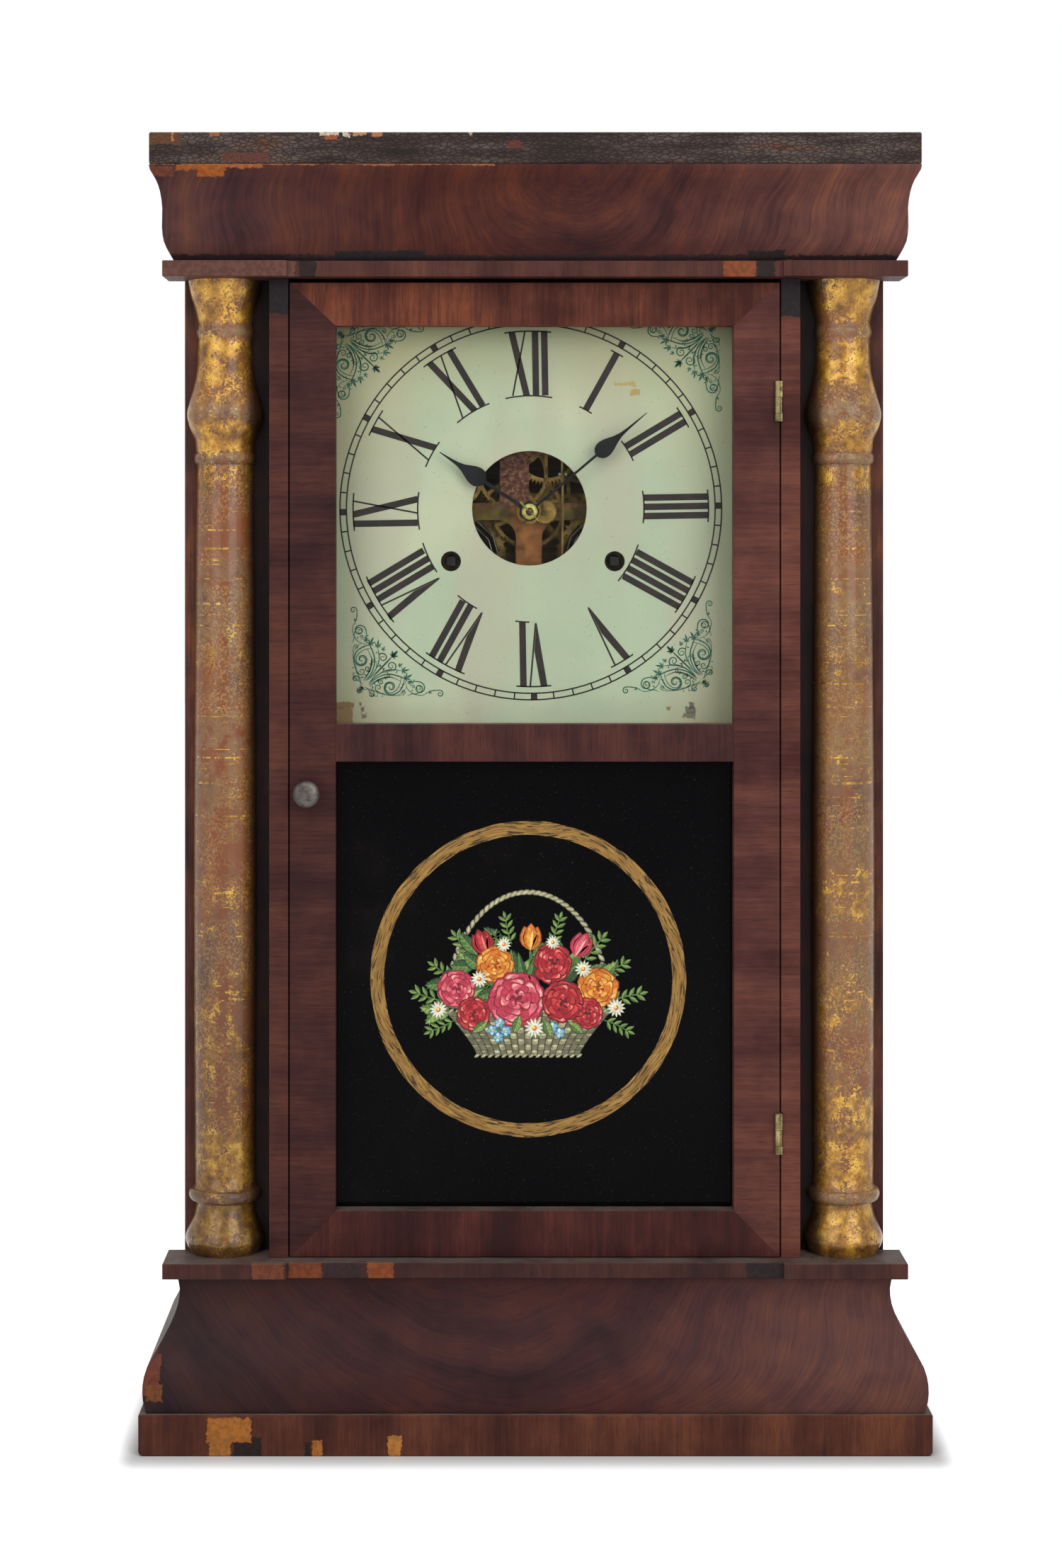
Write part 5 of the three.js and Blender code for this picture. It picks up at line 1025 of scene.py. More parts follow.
def numeral_strokes(word):
    """A numeral's polygons in its own frame, (across, distance from the hub), and its two serif spans"""
    width = sum(ADVANCE[letter] for letter in word) + STROKE_GAP * (len(word) - 1)
    at = -width / 2
    strokes, stems = [], []
    low, high = NUMERAL_INNER, NUMERAL_OUTER
    for letter in word:
        end = at + ADVANCE[letter]
        if letter == "I":
            strokes.append([(at, low), (end, low), (end, high), (at, high)])
            stems.append((at, end))
        elif letter == "V":
            point = at + V_POINT
            join = low + (high - low) * V_JOIN_SHARE
            step, tip, rise = V_FINE_STEPS
            fine = point + step
            strokes.append([(at, high), (point, low), (point + V_JOIN, join), (at + SLANTED, high)])
            strokes.append([
                (end - FINE, high), (fine, low + rise), (point + tip, low), (fine + FINE, low + rise),
                (end, high),
            ])
        else:
            foot, head = at + X_INSETS[0], end - X_INSETS[1]
            strokes.append([(at, high), (end - SLANTED, low), (end, low), (at + SLANTED, high)])
            strokes.append([(head - FINE, high), (foot, low), (foot + FINE, low), (head, high)])
            stems.append((at, end))
        at = end + STROKE_GAP
    outer = (-width / 2 - SERIF_REACH, width / 2 + SERIF_REACH)
    if not stems:
        return strokes, outer, None
    return strokes, outer, (min(s[0] for s in stems) - SERIF_REACH, max(s[1] for s in stems) + SERIF_REACH)


def on_dial(across, out, angle):
    """A place of the print turned to an angle clockwise from the top of the dial"""
    turn = math.radians(angle + PRINT_TURN)
    return (
        PRINT_CENTRE[0] + across * math.cos(turn) + out * math.sin(turn),
        PRINT_CENTRE[1] - across * math.sin(turn) + out * math.cos(turn),
    )


def arc_band(inner, outer, start, end, steps):
    """Part of a ring round the hub, between two angles clockwise from the top"""
    turns = [start + (end - start) * k / steps for k in range(steps + 1)]
    return [on_dial(0, outer, t) for t in turns] + [on_dial(0, inner, t) for t in reversed(turns)]


def dial_print():
    """The hours' numerals and the minute track"""
    outlines = []
    for hour, word in enumerate(NUMERALS, 1):
        strokes, outer, inner = numeral_strokes(word)
        for stroke in strokes:
            outlines.append([on_dial(across, out, hour * 30) for across, out in stroke])
        for span, radius in ((outer, NUMERAL_OUTER), (inner, NUMERAL_INNER)):
            if span:
                start, end = (hour * 30 + math.degrees(side / radius) for side in span)
                outlines.append(arc_band(radius - SERIF / 2, radius + SERIF / 2, start, end, 5))
    for radius in MINUTE_TRACK:
        for part in range(8):
            outlines.append(arc_band(radius - LINE / 2, radius + LINE / 2, part * 45, part * 45 + 45, 14))
    for minute in range(60):
        half = LINE / 2 if minute % 5 else FIVE_MINUTE_HALF
        spread = math.degrees(half / TRACK_MIDDLE)
        outlines.append(arc_band(*MINUTE_TRACK, minute * 6 - spread, minute * 6 + spread, 1))
    flat_pieces("dial_numerals", outlines, DIAL_FRONT, "ink", "case")


def stroke_outline(line, widths):
    """The outline of a brush stroke along a line, with its width at each point"""
    left, right = [], []
    for i, (x, z) in enumerate(line):
        before, after = line[max(i - 1, 0)], line[min(i + 1, len(line) - 1)]
        run = Vector((after[0] - before[0], after[1] - before[1]))
        side = Vector((-run.y, run.x)).normalized() * widths[i] / 2
        left.append((x + side.x, z + side.y))
        right.append((x - side.x, z - side.y))
    return left + right[::-1]


def scroll(stem_points, centre, radius, entry, spin, width):
    """A stem that runs into a volute: it meets the circle at the entry angle and winds inwards"""
    steps, turns, eye_share = 32, 1.35, 0.16
    coil = []
    for k in range(steps + 1):
        share = k / steps
        out = radius * (1 - (1 - eye_share) * share ** 0.9)
        turn = math.radians(entry) + spin * share * turns * 2 * math.pi
        coil.append((centre[0] + out * math.cos(turn), centre[1] + out * math.sin(turn)))
    line = smooth_line([*stem_points, coil[0], coil[2]], 7)[:-8] + coil
    widths = []
    for k in range(len(line)):
        share = k / (len(line) - 1)
        swell = math.sin(math.pi * min(1, share * 1.05)) ** 0.8
        widths.append(width * SCROLL_WEIGHT * (0.4 + 0.75 * swell + 0.9 * (share > 0.965)))
    return stroke_outline(line, widths)


def stem(points, width):
    """A stroke through a few points that tapers at both ends"""
    line = smooth_line(points, 8)
    swells = [math.sin(math.pi * k / (len(line) - 1)) ** 0.7 for k in range(len(line))]
    return stroke_outline(line, [width * SCROLL_WEIGHT * (0.3 + 0.7 * swell) for swell in swells])


def laid(root, heading, shares, length, width):
    """Points given as shares of a length ahead and a width aside, laid out from a root along a heading"""
    turn = math.radians(heading)
    across, up = math.cos(turn), math.sin(turn)
    return [
        (root[0] + across * length * a - up * width * b, root[1] + up * length * a + across * width * b)
        for a, b in shares
    ]


def reached(root, heading, ahead, aside=0):
    """The place that lies so far ahead of a root along a heading, and so far aside"""
    return laid(root, heading, [(ahead, aside)], 1, 1)[0]


ACANTHUS_SHARES = (
    (0, 0), (0.25, 0.32), (0.5, 0.5), (0.75, 0.3), (1, 0), (0.75, -0.18), (0.5, -0.3), (0.25, -0.2),
)

# Half of one corner ornament, in millimetres from its corner, along one edge and then away from it.
# A scroll has its stem's points, its volute's middle and radius, the angle it is met at, its sense and width.
CORNER_SCROLLS = (
    (((9.8, 26.2), (6.5, 25.6), (3.0, 23.4)), (5.2, 19.2), 3.9, 165, 1, 0.46),
    (((10.6, 24.6), (7.6, 24.2), (4.4, 22.6)), (5.2, 19.0), 3.0, 160, 1, 0.32),
    (((7.6, 27.8), (7.8, 31.0)), (4.4, 33.4), 3.1, 10, 1, 0.4),
    (((8.4, 26.4), (4.2, 27.6), (1.7, 30.6)), (4.4, 33.2), 2.1, 175, -1, 0.32),
    (((1.8, 36.4), (3.0, 39.4)), (1.5, 43.6), 1.8, -10, 1, 0.36),
    (((7.6, 9.4), (11.6, 13.6), (13.4, 17.4), (13.2, 20.6)), (15.6, 19.8), 2.5, 150, -1, 0.42),
    (((2.0, 17.6), (2.4, 14.2)), (5.0, 13.2), 1.9, 190, 1, 0.34),
    (((10.2, 20.4), (9.8, 17.0)), (7.9, 14.6), 1.5, -10, -1, 0.34),
    (((5.6, 6.4), (4.6, 7.8)), (1.9, 9.6), 1.9, -30, 1, 0.34),
    (((3.2, 12.4), (0.8, 12.6)), (1.6, 10.2), 0.9, 120, 1, 0.26),
    (((0.6, 22.8), (1.2, 25.0)), (2.6, 25.4), 1.2, 180, -1, 0.28),
    (((5.0, 28.8), (6.0, 29.6)), (5.2, 30.4), 0.9, -40, 1, 0.26),
    (((12.2, 15.0), (12.6, 17.6)), (10.6, 18.0), 1.1, 10, 1, 0.28),
    (((2.4, 5.4), (3.4, 4.6)), (3.6, 3.4), 1.1, 60, -1, 0.34),
)
CORNER_STEMS = (
    (((6.6, 8.4), (10.2, 13.0), (11.6, 19.0), (9.4, 26.0), (7.4, 27.6)), 0.5),
    (((7.2, 8.4), (11.6, 13.4), (13.8, 18.8), (13.2, 25.0)), 0.44),
    (((6.0, 8.6), (9.0, 13.2), (10.2, 18.8), (8.0, 24.4)), 0.36),
    (((5.4, 8.8), (8.0, 12.0), (9.2, 15.8)), 0.3),
    (((4.0, 5.0), (4.4, 9.0), (2.4, 13.6), (1.2, 18.4), (1.4, 23.4), (5.2, 27.4)), 0.34),
    (((0.6, 27.4), (1.6, 30.0), (0.8, 34.4), (2.0, 37.4)), 0.3),
    (((8.0, 9.0), (13.0, 13.2), (17.4, 17.6), (20.6, 20.6)), 0.4),
)
CORNER_SPRAYS = (
    ((9.4, 26.4), 62, 4.4), ((13.2, 25.0), 82, 4.0), ((20.4, 20.0), 45, 4.2), ((7.6, 28.0), 100, 3.2),
    ((15.6, 23.4), 60, 2.6), ((5.4, 5.6), 225, 3.0), ((2.6, 38.2), 120, 2.0),
)
CORNER_LEAVES = (
    ((9.6, 13.0), 170, 2.2), ((10.8, 16.4), 160, 2.2), ((13.0, 15.4), 20, 1.8), ((3.6, 8.6), 150, 1.8),
    ((6.2, 10.6), 190, 2.0), ((7.8, 11.2), 160, 1.8), ((6.2, 24.6), 70, 1.8), ((4.6, 24.0), 60, 1.8),
    ((1.4, 15.4), 200, 1.4), ((5.0, 16.6), 60, 1.2), ((14.6, 15.0), 100, 2.0), ((3.6, 30.6), 240, 1.6),
    ((7.6, 30.4), 30, 1.6), ((2.6, 40.2), 40, 1.4), ((11.8, 22.0), 20, 1.8),
)
SPRAY_SHARES = ((0, 1), (38, 0.72), (-38, 0.72), (78, 0.45), (-78, 0.45))
# How far the printed corners reach under the door's frame, across and up. The lower ones stand clear of it.
UPPER_CORNER_HIDDEN = (2.0, 2.2)
LOWER_CORNER_HIDDEN = (-4.4, -11.8)


def corner_half():
    """One half of a corner's ornament; the other half mirrors it"""
    shapes = [scroll(*one) for one in CORNER_SCROLLS] + [stem(*one) for one in CORNER_STEMS]
    for root, heading, size in CORNER_SPRAYS:
        for turn, share in SPRAY_SHARES:
            shapes.append(laid(root, heading + turn, ACANTHUS_SHARES, size * share, size * share * 0.32))
    for root, heading, length in CORNER_LEAVES:
        shapes.append(laid(root, heading, ACANTHUS_SHARES, length, length * 0.45))
    return shapes


def dial_corners():
    half = corner_half()
    whole = half + [[(z, x) for x, z in shape] for shape in half]
    outlines = []
    for across, up in ((1, 1), (-1, 1), (1, -1), (-1, -1)):
        hidden = LOWER_CORNER_HIDDEN if up > 0 else UPPER_CORNER_HIDDEN
        corner_x = (DIAL_PANE[0] if across > 0 else DIAL_PANE[1]) - across * hidden[0] - PRINT_CENTRE[0]
        corner_z = (DIAL_PANE[2] if up > 0 else DIAL_PANE[3]) - up * hidden[1] - PRINT_CENTRE[1]
        for shape in whole:
            outlines.append([on_dial(corner_x + across * x, corner_z + up * z, 0) for x, z in shape])
    flat_pieces("dial_corner_scrolls", outlines, DIAL_FRONT, "green", "case")


def circle(radius, count, start=0.0):
    turns = (start + 2 * math.pi * k / count for k in range(count))
    return [(radius * math.cos(turn), radius * math.sin(turn)) for turn in turns]


def hand(node, outline, bore, setback, angle, body):
    """A hand: its half outline mirrored and closed round the hub, with chamfered edges and a round hole"""
    turn = math.radians(angle)
    shape = [(half, out) for out, half in outline] + [(-half, out) for out, half in reversed(outline)]
    shape += circle(outline[0][1], 32, math.pi)[1:16]
    hole = circle(bore, 40)
    triangles = geometry.tessellate_polygon([[Vector((x, z, 0)) for x, z in loop] for loop in (shape, hole)])
    flat = shape + hole
    vertices, faces = [], []
    for depth in (setback, setback + HAND_THICKNESS):
        for x, z in flat:
            vertices.append((
                HUB[0] + x * math.cos(turn) + z * math.sin(turn), along_y(depth),
                HUB[1] - x * math.sin(turn) + z * math.cos(turn),
            ))
    count = len(flat)
    for a, b, c in triangles:
        faces += [(a, b, c), (count + c, count + b, count + a)]
    faces += walls(0, len(shape), count)
    faces += walls(len(shape), len(hole), count)
    piece = new_piece(f"{node}_pierced", vertices, faces, "iron", body, 40)
    round_edges(piece, HAND_CHAMFER, 50)
    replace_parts(piece, node)


def build_dial():
    dressed("dial_plate", "dial", DIAL_EDGE, 35)
    dial_print()
    dial_corners()
    for one in HANDS:
        hand(*one)
    dressed("hand_washer_and_pin", "bright_brass", WASHER_EDGE, 45)


# TABLET

# How far the gold ring's edges wave in and out
WAVE_HEIGHTS = (0.03, 0.1)


def gold_ring():
    """A ring laid on with a brush, with uneven edges"""
    rng = random.Random(7)
    steps, parts = 180, 12
    waves = [(rng.uniform(*WAVE_HEIGHTS), rng.randint(3, 40), rng.uniform(0, 2 * math.pi)) for _ in range(10)]

    def edge(radius, which):
        points = []
        for k in range(steps + 1):
            turn = 2 * math.pi * k / steps
            own = waves[which::2]
            out = radius + sum(height * math.sin(count * turn + phase) for height, count, phase in own)
            points.append((TABLET_CENTRE[0] + out * math.cos(turn), TABLET_CENTRE[1] + out * math.sin(turn)))
        return points

    outer, inner = edge(RING_OUTER, 0), edge(RING_INNER, 1)
    outlines = []
    for part in range(parts):
        run = range(part * steps // parts, (part + 1) * steps // parts + 1)
        outlines.append([outer[k] for k in run] + [inner[k] for k in reversed(run)])
    flat_pieces("tablet_ring", outlines, TABLET_FRONT, "ring", "door")


# Each set of four paints runs from deep to pale
RED = ((76, 12, 18), (146, 30, 38), (184, 58, 60), (216, 132, 120))
PINK = ((112, 24, 42), (172, 54, 72), (202, 98, 108), (230, 168, 156))
ORANGE = ((126, 56, 14), (190, 106, 36), (214, 148, 62), (232, 194, 118))
WHITE = ((96, 104, 82), (158, 162, 136), (196, 198, 172), (216, 214, 192))
BLUE = ((36, 84, 106), (74, 134, 162), (112, 166, 186), (168, 200, 208))
GREEN = ((14, 32, 20), (36, 66, 34), (70, 102, 50), (126, 148, 80))
PALE_GREEN = ((28, 50, 26), (66, 96, 44), (108, 134, 66), (164, 176, 110))
WICKER = ((46, 46, 34), (98, 96, 72), (140, 136, 104), (184, 180, 146))

# Outlines as shares of a length ahead and a width aside
PETAL_SHARES = [
    (0, 0.06), (0.22, 0.2), (0.5, 0.42), (0.76, 0.5), (0.93, 0.38), (0.97, 0.12), (0.93, 0), (0.98, -0.14),
    (0.92, -0.4), (0.74, -0.5), (0.5, -0.4), (0.22, -0.2), (0, -0.06),
]
PETAL_THROAT_SHARES = [(0, 0.05), (0.4, 0.2), (0.6, 0.14), (0.66, 0), (0.6, -0.14), (0.4, -0.2), (0, -0.05)]
PETAL_LIT_SHARES = [
    (0.34, 0.2), (0.56, 0.38), (0.78, 0.44), (0.91, 0.34), (0.94, 0.1), (0.92, -0.1), (0.84, -0.04),
    (0.7, 0.06), (0.5, 0.1),
]
PETAL_FOLD_SHARES = [(0.6, 0.34), (0.78, 0.4), (0.89, 0.3), (0.92, 0.12), (0.84, 0.2), (0.74, 0.27)]
LEAF_SHARES = [
    (0, 0), (0.12, 0.22), (0.3, 0.42), (0.5, 0.48), (0.7, 0.38), (0.88, 0.18), (1, 0),
    (0.88, -0.18), (0.7, -0.38), (0.5, -0.48), (0.3, -0.42), (0.12, -0.22),
]
TWIST_SHARES = [(ahead - 0.5, aside) for ahead, aside in LEAF_SHARES]
LIT_HALF_SHARES = [(0.02, 0), (0.3, 0.36), (0.55, 0.4), (0.85, 0.16), (0.97, 0)]
MIDRIB_SHARES = [(0.02, 0.02), (0.95, 0.012), (0.95, -0.012), (0.02, -0.03)]

# The picture's parts. Places are across and up from the tablet's centre, then come headings and sizes.
BASKET_FOOT, BASKET_RIM, BASKET_FOOT_HALF, BASKET_RIM_HALF = -37.5, -15.5, 25, 41
HANDLE_HALF, HANDLE_RISE = 40, 58
BED_HALF, BED_RISE, BED_LIFT = 42, 32, 2
BED_LEAVES = 60
BED_LEAF_LENGTHS, BED_LEAF_WIDTHS = (10, 15), (6, 8.4)
BLUE_RADIUS = 2.5
RIM_LEAF_SIZE = (9, 5)
FERNS = (
    (-40, -11, 164, 15), (40, -11, 14, 15), (-26, 9, 128, 15), (27, 8, 52, 15), (-8, 17, 104, 13),
    (12, 17, 74, 13), (-34, -1, 148, 14), (35, 0, 32, 14), (-36, -20, 205, 13), (37, -20, -25, 13),
)
TULIPS = ((-20, 12, 112, 13, RED), (23, 11, 62, 13, PINK), (1, 14, 88, 13, ORANGE))
PEONIES = (
    (-35, -5, 9, PINK), (34, -4, 9.5, ORANGE), (-16, 7, 9, ORANGE), (12, 8, 9.5, RED), (29, -17, 7.5, RED),
    (-27, -17, 8, RED), (-6, -10, 13.5, PINK), (17, -11, 10, RED),
)
DAISIES = (
    (-44, -15, 4.6), (3, -24, 5.2), (43, -14, 4.8), (-24, 0, 4.4), (27, 5, 4.4), (-12, 17, 3.8),
    (12, 18, 3.6),
)
BLUE_FLOWERS = ((-14, -21.5), (-17.5, -25), (-11, -25.5), (-14.5, -28.5), (12, -23.5), (15.5, -26.4))
RIM_LEAVES = ((-20, -21, 215), (20, -21, -40), (-4, -18, 250), (8, -20, -70))
# How far each layer of paint stands in front of the one under it
PAINT_STEP = 0.001


class Picture:
    """Flat shapes of paint, each laid a step in front of those under it"""

    def __init__(self):
        self.shapes = []
        self.level = 0
        self.rng = random.Random(5)

    def paint(self, outline, tone, lift=0):
        self.shapes.append((outline, tone, self.level + lift))

    def lay(self, root, heading, shares, length, width, tone, lift=0):
        self.paint(laid(root, heading, shares, length, width), tone, lift)

    def petal(self, root, heading, length, width, tones, lift):
        """A cupped petal: dark at its root and outline, paler to its rim, with one lit fold"""
        deep, full, fair, pale = tones
        side = self.rng.choice((1, -1))
        self.lay(root, heading, PETAL_SHARES, length * 1.06, width * 1.07, deep, lift)
        self.lay(root, heading, PETAL_SHARES, length, width, full, lift + 1)
        self.lay(root, heading, PETAL_LIT_SHARES, length, width * side, fair, lift + 2)
        self.lay(root, heading, PETAL_THROAT_SHARES, length * 0.9, width * 0.9, deep, lift + 2)
        if self.rng.random() < 0.55:
            self.lay(root, heading, PETAL_FOLD_SHARES, length, width * side, pale, lift + 3)

    def peony(self, centre, radius, tones):
        """Four rings of broad petals round a curled heart"""
        turn = self.rng.uniform(0, 360)
        self.paint(disc(centre, radius * 0.82, 20), tones[0])
        rings = ((6, 1.0, 0.1), (5, 0.8, 0.07), (4, 0.58, 0.04), (3, 0.38, 0.01))
        for ring, (count, reach_share, root_share) in enumerate(rings):
            for k in range(count):
                heading = turn + ring * 34 + 360 * k / count + self.rng.uniform(-9, 9)
                root = reached(centre, heading, radius * root_share)
                reach = radius * reach_share * self.rng.uniform(0.9, 1.04)
                length, width = reach * 0.95, reach * (1.04 + 0.07 * ring)
                self.petal(root, heading, length, width, tones, 1 + ring * 5 + k % 2)
        heart_level = 1 + len(rings) * 5
        for k in range(5):
            heading = turn + 72 * k
            root = reached(centre, heading, radius * 0.1)
            curl = laid(root, heading + 70, LEAF_SHARES, radius * 0.22, radius * 0.1)
            self.paint(curl, tones[0] if k % 2 else tones[2], heart_level)
        self.level += heart_level + 2

    def daisy(self, centre, radius):
        turn = self.rng.uniform(0, 360)
        for k in range(13):
            heading = turn + 360 * k / 13
            self.lay(centre, heading, LEAF_SHARES, radius, radius * 0.34, WHITE[1], k % 2)
            self.lay(centre, heading, LEAF_SHARES, radius * 0.94, radius * 0.2, WHITE[3], 2 + k % 2)
        self.paint(disc(centre, radius * 0.26), ORANGE[1], 5)
        self.paint(disc((centre[0] - radius * 0.06, centre[1] + radius * 0.06), radius * 0.15), ORANGE[3], 6)

    def small_flower(self, centre, radius, tones):
        turn = self.rng.uniform(0, 72)
        for k in range(5):
            middle = reached(centre, turn + 72 * k, radius * 0.55)
            self.paint(disc(middle, radius * 0.5), tones[1], 0)
            self.paint(disc(middle, radius * 0.34), tones[2 + k % 2], 1)
        self.paint(disc(centre, radius * 0.2), ORANGE[3], 2)

    def tulip(self, root, heading, length, tones):
        foot = reached(root, heading, -1.5 * length, 0.1 * length)
        bend = reached(root, heading, -0.7 * length, -0.06 * length)
        self.paint(stem([foot, bend, root], length * 0.12), PALE_GREEN[1], 0)
        for side in (1, -1):
            self.leaf(foot, heading + side * 14, length * 1.5, length * 0.36, GREEN, veined=False)
        self.level += 4
        for turn, share, lift in ((16, 0.92, 0), (-16, 0.92, 0), (0, 1.0, 2)):
            own, reach = heading + turn, length * share
            self.lay(root, own, LEAF_SHARES, reach * 1.04, length * 0.62, tones[0], lift)
            self.lay(root, own, LEAF_SHARES, reach, length * 0.54, tones[1], lift + 1)
            self.lay(root, own + 4, LEAF_SHARES, reach * 0.9, length * 0.26, tones[2], lift + 2)
            self.lay(root, own - 5, LEAF_SHARES, reach * 0.8, length * 0.08, tones[3], lift + 3)
        self.level += 5

    def leaf(self, root, heading, length, width, tones, veined=True):
        deep, full, fair, pale = tones
        self.lay(root, heading, LEAF_SHARES, length, width, deep, 0)
        self.lay(root, heading, LEAF_SHARES, length * 0.97, width * 0.86, full, 1)
        self.lay(root, heading, LIT_HALF_SHARES, length, width, fair, 2)
        self.lay(root, heading, MIDRIB_SHARES, length, width, pale, 3)
        for share in (0.24, 0.42, 0.6, 0.76) if veined else ():
            for side in (1, -1):
                reach = side * 0.36 * (1 - abs(share - 0.45))
                vein = [(share, 0), (share + 0.13, reach), (share + 0.15, reach), (share + 0.03, 0)]
                self.lay(root, heading, vein, length, width, pale if side > 0 else fair, 3)

    def fern(self, root, heading, length, tones):
        tip = reached(root, heading, length)
        bend = reached(root, heading, 0.5 * length, 0.04 * length)
        self.paint(stem([root, bend, tip], length * 0.045), tones[1])
        pairs = 4
        for k in range(pairs):
            at = reached(root, heading, length * (k + 0.6) / pairs)
            for side in (1, -1):
                self.leaf(at, heading + side * 46, length * 0.36, length * 0.15, tones, veined=False)
        self.leaf(tip, heading, length * 0.3, length * 0.14, tones, veined=False)

    def twist(self, centre, along, length):
        """One turn of a twisted cane"""
        self.lay(centre, along, TWIST_SHARES, length, length * 0.54, WICKER[0], 0)
        self.lay(centre, along, TWIST_SHARES, length * 0.9, length * 0.4, WICKER[2], 1)
        self.lay(centre, along, TWIST_SHARES, length * 0.62, length * 0.13, WICKER[3], 2)

    def handle(self, centre, foot):
        """A twisted handle that arches over the flowers"""
        count = 44
        for k in range(count):
            turn = math.pi * (k + 0.5) / count
            middle = (centre + HANDLE_HALF * math.cos(turn), foot + HANDLE_RISE * math.sin(turn))
            slope = math.degrees(math.atan2(HANDLE_RISE * math.cos(turn), -HANDLE_HALF * math.sin(turn)))
            self.twist(middle, slope + 24, HANDLE_RISE * 0.088)
        self.level += 3

    def basket(self, centre, foot, rim):
        """A basket woven over and under, with a twisted cane at its foot and rim"""
        rows, columns, gap_share = 8, 17, 0.07
        height = (rim - foot) / rows

        def half(share):
            return BASKET_FOOT_HALF + (BASKET_RIM_HALF - BASKET_FOOT_HALF) * max(share, 0) ** 1.25

        side = [(centre + half(k / rows), foot + height * k) for k in range(rows + 1)]
        self.paint(side + [(2 * centre - x, z) for x, z in reversed(side)], WICKER[0], 0)
        for row in range(rows):
            low, high = (foot + height * (row + share) for share in (gap_share, 1 - gap_share))
            for column in range(columns):
                left, right = (-1 + 2 * (column + share) / columns for share in (gap_share, 1 - gap_share))
                over = (row + column) % 2
                middle = (left + right) / 2
                at_low, at_high = half(row / rows), half((row + 1) / rows)
                cell = [
                    (centre + left * at_low, low), (centre + middle * at_low, low - 0.12 * height * over),
                    (centre + right * at_low, low), (centre + right * at_high, high),
                    (centre + middle * at_high, high + 0.12 * height * over), (centre + left * at_high, high),
                ]
                lit = 2 if over and abs(middle) < 0.62 else 1
                self.paint(cell, WICKER[lit], 1)
                if over:
                    glint = [
                        (centre + (left + (right - left) * share) * at_high, high - height * drop)
                        for share, drop in ((0.1, 0.08), (0.9, 0.08), (0.75, 0.4), (0.25, 0.4))
                    ]
                    self.paint(glint, WICKER[lit + 1], 2)
        self.level += 4
        for level, reach in ((foot, BASKET_FOOT_HALF), (rim, BASKET_RIM_HALF)):
            count = round(reach / (height * 0.6))
            for k in range(count + 1):
                self.twist((centre - reach + 2 * reach * k / count, level), 32, height * 1.3)
        self.level += 4


def disc(centre, radius, steps=12):
    return [(centre[0] + x, centre[1] + z) for x, z in circle(radius, steps)]


def flower_picture():
    """A basket of garden flowers under a twisted handle"""
    p = Picture()
    cx, cz = TABLET_CENTRE
    foot, rim = cz + BASKET_FOOT, cz + BASKET_RIM
    p.handle(cx, rim)
    for x, z, heading, length in FERNS:
        p.fern((cx + x, cz + z), heading, length, PALE_GREEN)
    p.level += 4
    for k in range(BED_LEAVES):
        turn, reach = p.rng.uniform(-8, 188), p.rng.uniform(0.25, 1)
        root = (
            cx + BED_HALF * reach * math.cos(math.radians(turn)),
            rim + BED_LIFT + BED_RISE * reach * math.sin(math.radians(turn)),
        )
        length, width = p.rng.uniform(*BED_LEAF_LENGTHS), p.rng.uniform(*BED_LEAF_WIDTHS)
        p.leaf(root, turn + p.rng.uniform(-55, 55), length, width, GREEN if k % 3 else PALE_GREEN)
        p.level += 4 * (k % 9 == 8)
    p.level += 4
    p.basket(cx, foot, rim)
    for x, z, heading, length, tones in TULIPS:
        p.tulip((cx + x, cz + z), heading, length, tones)
    for x, z, radius, tones in PEONIES:
        p.peony((cx + x, cz + z), radius, tones)
    for x, z, radius in DAISIES:
        p.daisy((cx + x, cz + z), radius)
    p.level += 7
    for x, z in BLUE_FLOWERS:
        p.small_flower((cx + x, cz + z), BLUE_RADIUS, BLUE)
    p.level += 3
    for x, z, heading in RIM_LEAVES:
        p.leaf((cx + x, cz + z), heading, *RIM_LEAF_SIZE, PALE_GREEN)
    return p.shapes


def build_tablet():
    gold_ring()
    shapes = flower_picture()
    tones = sorted({tone for _, tone, _ in shapes})
    paints = [flat_paint(f"picture_paint_{n:02d}", tone, 0.45, grain=420.0) for n, tone in enumerate(tones)]
    layers = [(outline, INK + level * PAINT_STEP, tones.index(tone)) for outline, tone, level in shapes]
    layered_pieces("tablet_flower_basket", layers, TABLET_FRONT, paints, "door")


# MOVEMENT

MOVEMENT_NODES = (
    "front_plate", "back_plate", "time_great_wheel", "strike_great_wheel", "time_winding_arbor",
    "strike_winding_arbor", "time_mainspring", "strike_mainspring", "time_second_wheel", "centre_wheel",
    "third_wheel", "escape_wheel", "minute_wheel", "hour_wheel", "strike_second_wheel", "strike_third_wheel",
    "verge_and_crutch", "pendulum_rod", "pendulum_bob", "count_wheel", "fly", "hammer", "gong_coil",
    "gong_post",
)
STEEL_NODES = ("time_mainspring", "strike_mainspring", "verge_and_crutch", "hammer", "gong_coil")
# The look and slot of every node that isn't plain brass
OTHER_LOOKS = {
    "front_plate": ("plate_brass", "brass"), "gong_post": ("black", "black_iron"),
    # The winding arbors take the darker steel: painted shade for their place in the winding holes
    "time_winding_arbor": ("shade_darkened_steel", "steel"), "strike_winding_arbor": ("shade_darkened_steel", "steel"),
    **{node: ("steel", "steel") for node in STEEL_NODES},
}
PLATE_EDGE = 0.12


def build_movement():
    for node in MOVEMENT_NODES:
        kind, slot = OTHER_LOOKS.get(node, ("brass", "brass"))
        dressed(node, kind, PLATE_EDGE if node.endswith("_plate") else 0.0, 38)


# STAGE

# The stage's sizes are in metres, and its lamps have a place, a size and a power in watts
ROOM_LIGHT = 0.32
FLOOR_TONE = 0.66
FLOOR_REACH = 6.0
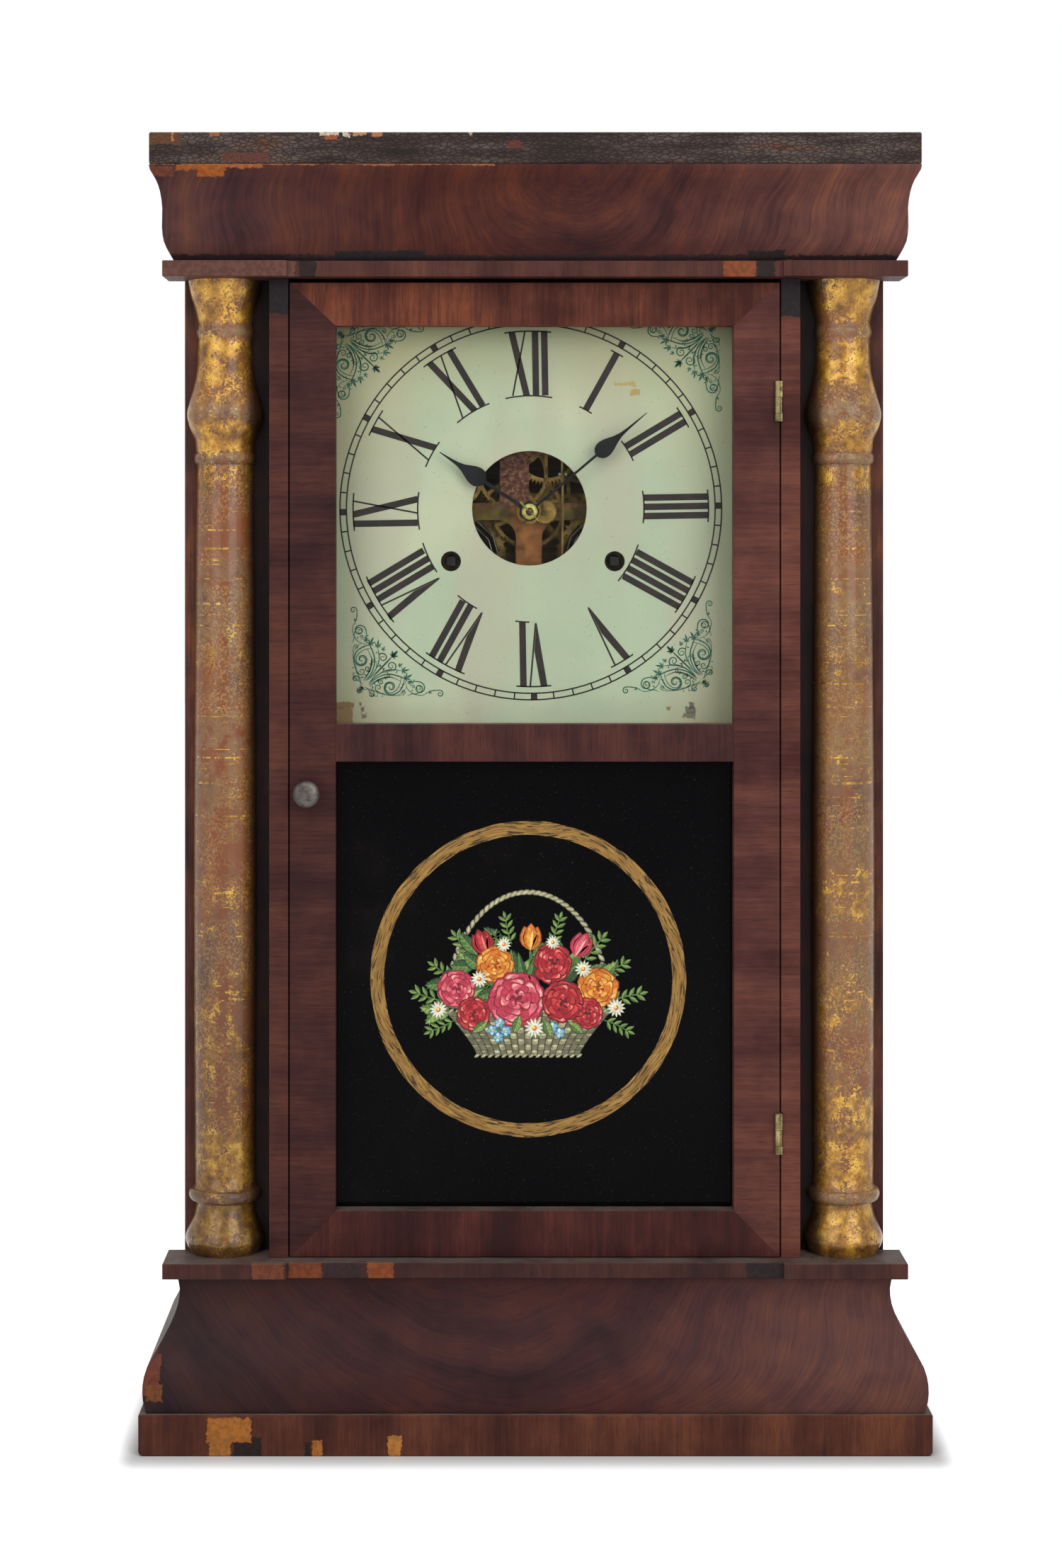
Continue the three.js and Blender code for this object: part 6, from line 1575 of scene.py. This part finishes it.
# How far the floor's painted shadow reaches out from the object's box, in metres, and half as far at its
# sides
FLOOR_SHADOW = 0.036
LAMPS = (
    ("lamp_left", (-1.1, -1.6, 0.9), 1.2, 10), ("lamp_right", (1.0, -1.7, 0.9), 1.2, 14),
    ("lamp_top", (0.0, -0.8, 2.0), 1.6, 15),
)
LAMP_AIM = (0, 0, 0.32)
CAMERA_PLACE = (-0.0259, -1.3915, 0.4401)
CAMERA_LENS = 63.8
CAMERA_SENSOR = 36
CAMERA_SHIFT = (0.0316, -0.157)
CAMERA_CLIP = (0.05, 50)


def seen_ray(tree):
    """1 for rays from the camera, off a mirror or through glass, 0 for the rest"""
    rays = tree.nodes.new("ShaderNodeLightPath")
    found = rays.outputs["Is Camera Ray"]
    for kind in ("Is Glossy Ray", "Is Transmission Ray"):
        either = tree.nodes.new("ShaderNodeMath")
        either.operation = "MAXIMUM"
        tree.links.new(found, either.inputs[0])
        tree.links.new(rays.outputs[kind], either.inputs[1])
        found = either.outputs[0]
    return found


def white_room():
    """A white backdrop for what is looked at, and an even dimmer light for the object"""
    world = bpy.data.worlds.new("studio")
    bpy.context.scene.world = world
    world.use_nodes = True
    tree = world.node_tree
    tree.nodes.clear()
    output = tree.nodes.new("ShaderNodeOutputWorld")
    backdrop, room = (tree.nodes.new("ShaderNodeBackground") for _ in range(2))
    for light, strength in ((backdrop, 1.0), (room, ROOM_LIGHT)):
        light.inputs["Color"].default_value = (1, 1, 1, 1)
        light.inputs["Strength"].default_value = strength
    mixed = shader_mix(tree, seen_ray(tree), room.outputs[0], backdrop.outputs[0])
    tree.links.new(mixed, output.inputs[0])


def white_floor():
    """A floor that takes the object's shadow, with a painted shadow round the object's foot, and runs into
    the white backdrop further out
    """
    mesh = bpy.data.meshes.new("floor")
    corners = [(x * FLOOR_REACH, y * FLOOR_REACH, 0) for x, y in ((-1, -1), (1, -1), (1, 1), (-1, 1))]
    mesh.from_pydata(corners, [], [(0, 1, 2, 3)])
    floor = bpy.data.objects.new("floor", mesh)
    bpy.context.scene.collection.objects.link(floor)
    f = Finish("floor_white")
    f.tree.nodes.remove(f.surface)
    matt = f.add("ShaderNodeBsdfDiffuse", {"Color": (FLOOR_TONE, FLOOR_TONE, FLOOR_TONE, 1)})
    beside, ahead = (
        f.product(f.calc("MAXIMUM", f.calc("SUBTRACT", f.calc("ABSOLUTE", axis), half), 0.0), share)
        for axis, half, share in ((f.x, cad_high[0], 2.0), (f.y, cad_high[1], 1.0))
    )
    # Painted shadow: for seen rays the floor's glow fades out towards the object's box, within FLOOR_SHADOW
    glow = f.add("ShaderNodeEmission")
    f.link(f.between(f.distance(beside, ahead), 0.0, FLOOR_SHADOW), glow.inputs["Strength"])
    both = f.add("ShaderNodeAddShader")
    f.link(matt.outputs[0], both.inputs[0])
    f.link(glow.outputs[0], both.inputs[1])
    mixed = shader_mix(f.tree, seen_ray(f.tree), matt.outputs[0], both.outputs[0])
    f.link(mixed, f.output.inputs["Surface"])
    mesh.materials.append(f.material)


def build_stage():
    white_room()
    white_floor()
    for name, place, size, power in LAMPS:
        data = bpy.data.lights.new(name, "AREA")
        data.size = size
        data.energy = power
        lamp = bpy.data.objects.new(name, data)
        lamp.location = place
        aim = Vector(LAMP_AIM) - Vector(place)
        lamp.rotation_euler = aim.to_track_quat("-Z", "Y").to_euler()
        bpy.context.scene.collection.objects.link(lamp)


def build_camera():
    """A level camera, a little left of the middle, at the height of the dial"""
    data = bpy.data.cameras.new("camera")
    data.sensor_width = CAMERA_SENSOR
    data.lens = CAMERA_LENS
    data.shift_x, data.shift_y = CAMERA_SHIFT
    data.clip_start, data.clip_end = CAMERA_CLIP
    camera = bpy.data.objects.new("camera", data)
    camera.location = CAMERA_PLACE
    camera.rotation_euler = (math.radians(90), 0, 0)
    bpy.context.scene.collection.objects.link(camera)
    bpy.context.scene.camera = camera
    bpy.context.scene.view_settings.view_transform = "Standard"


build_camera()
build_stage()
build_case()
build_door()
build_dial()
build_tablet()
build_movement()
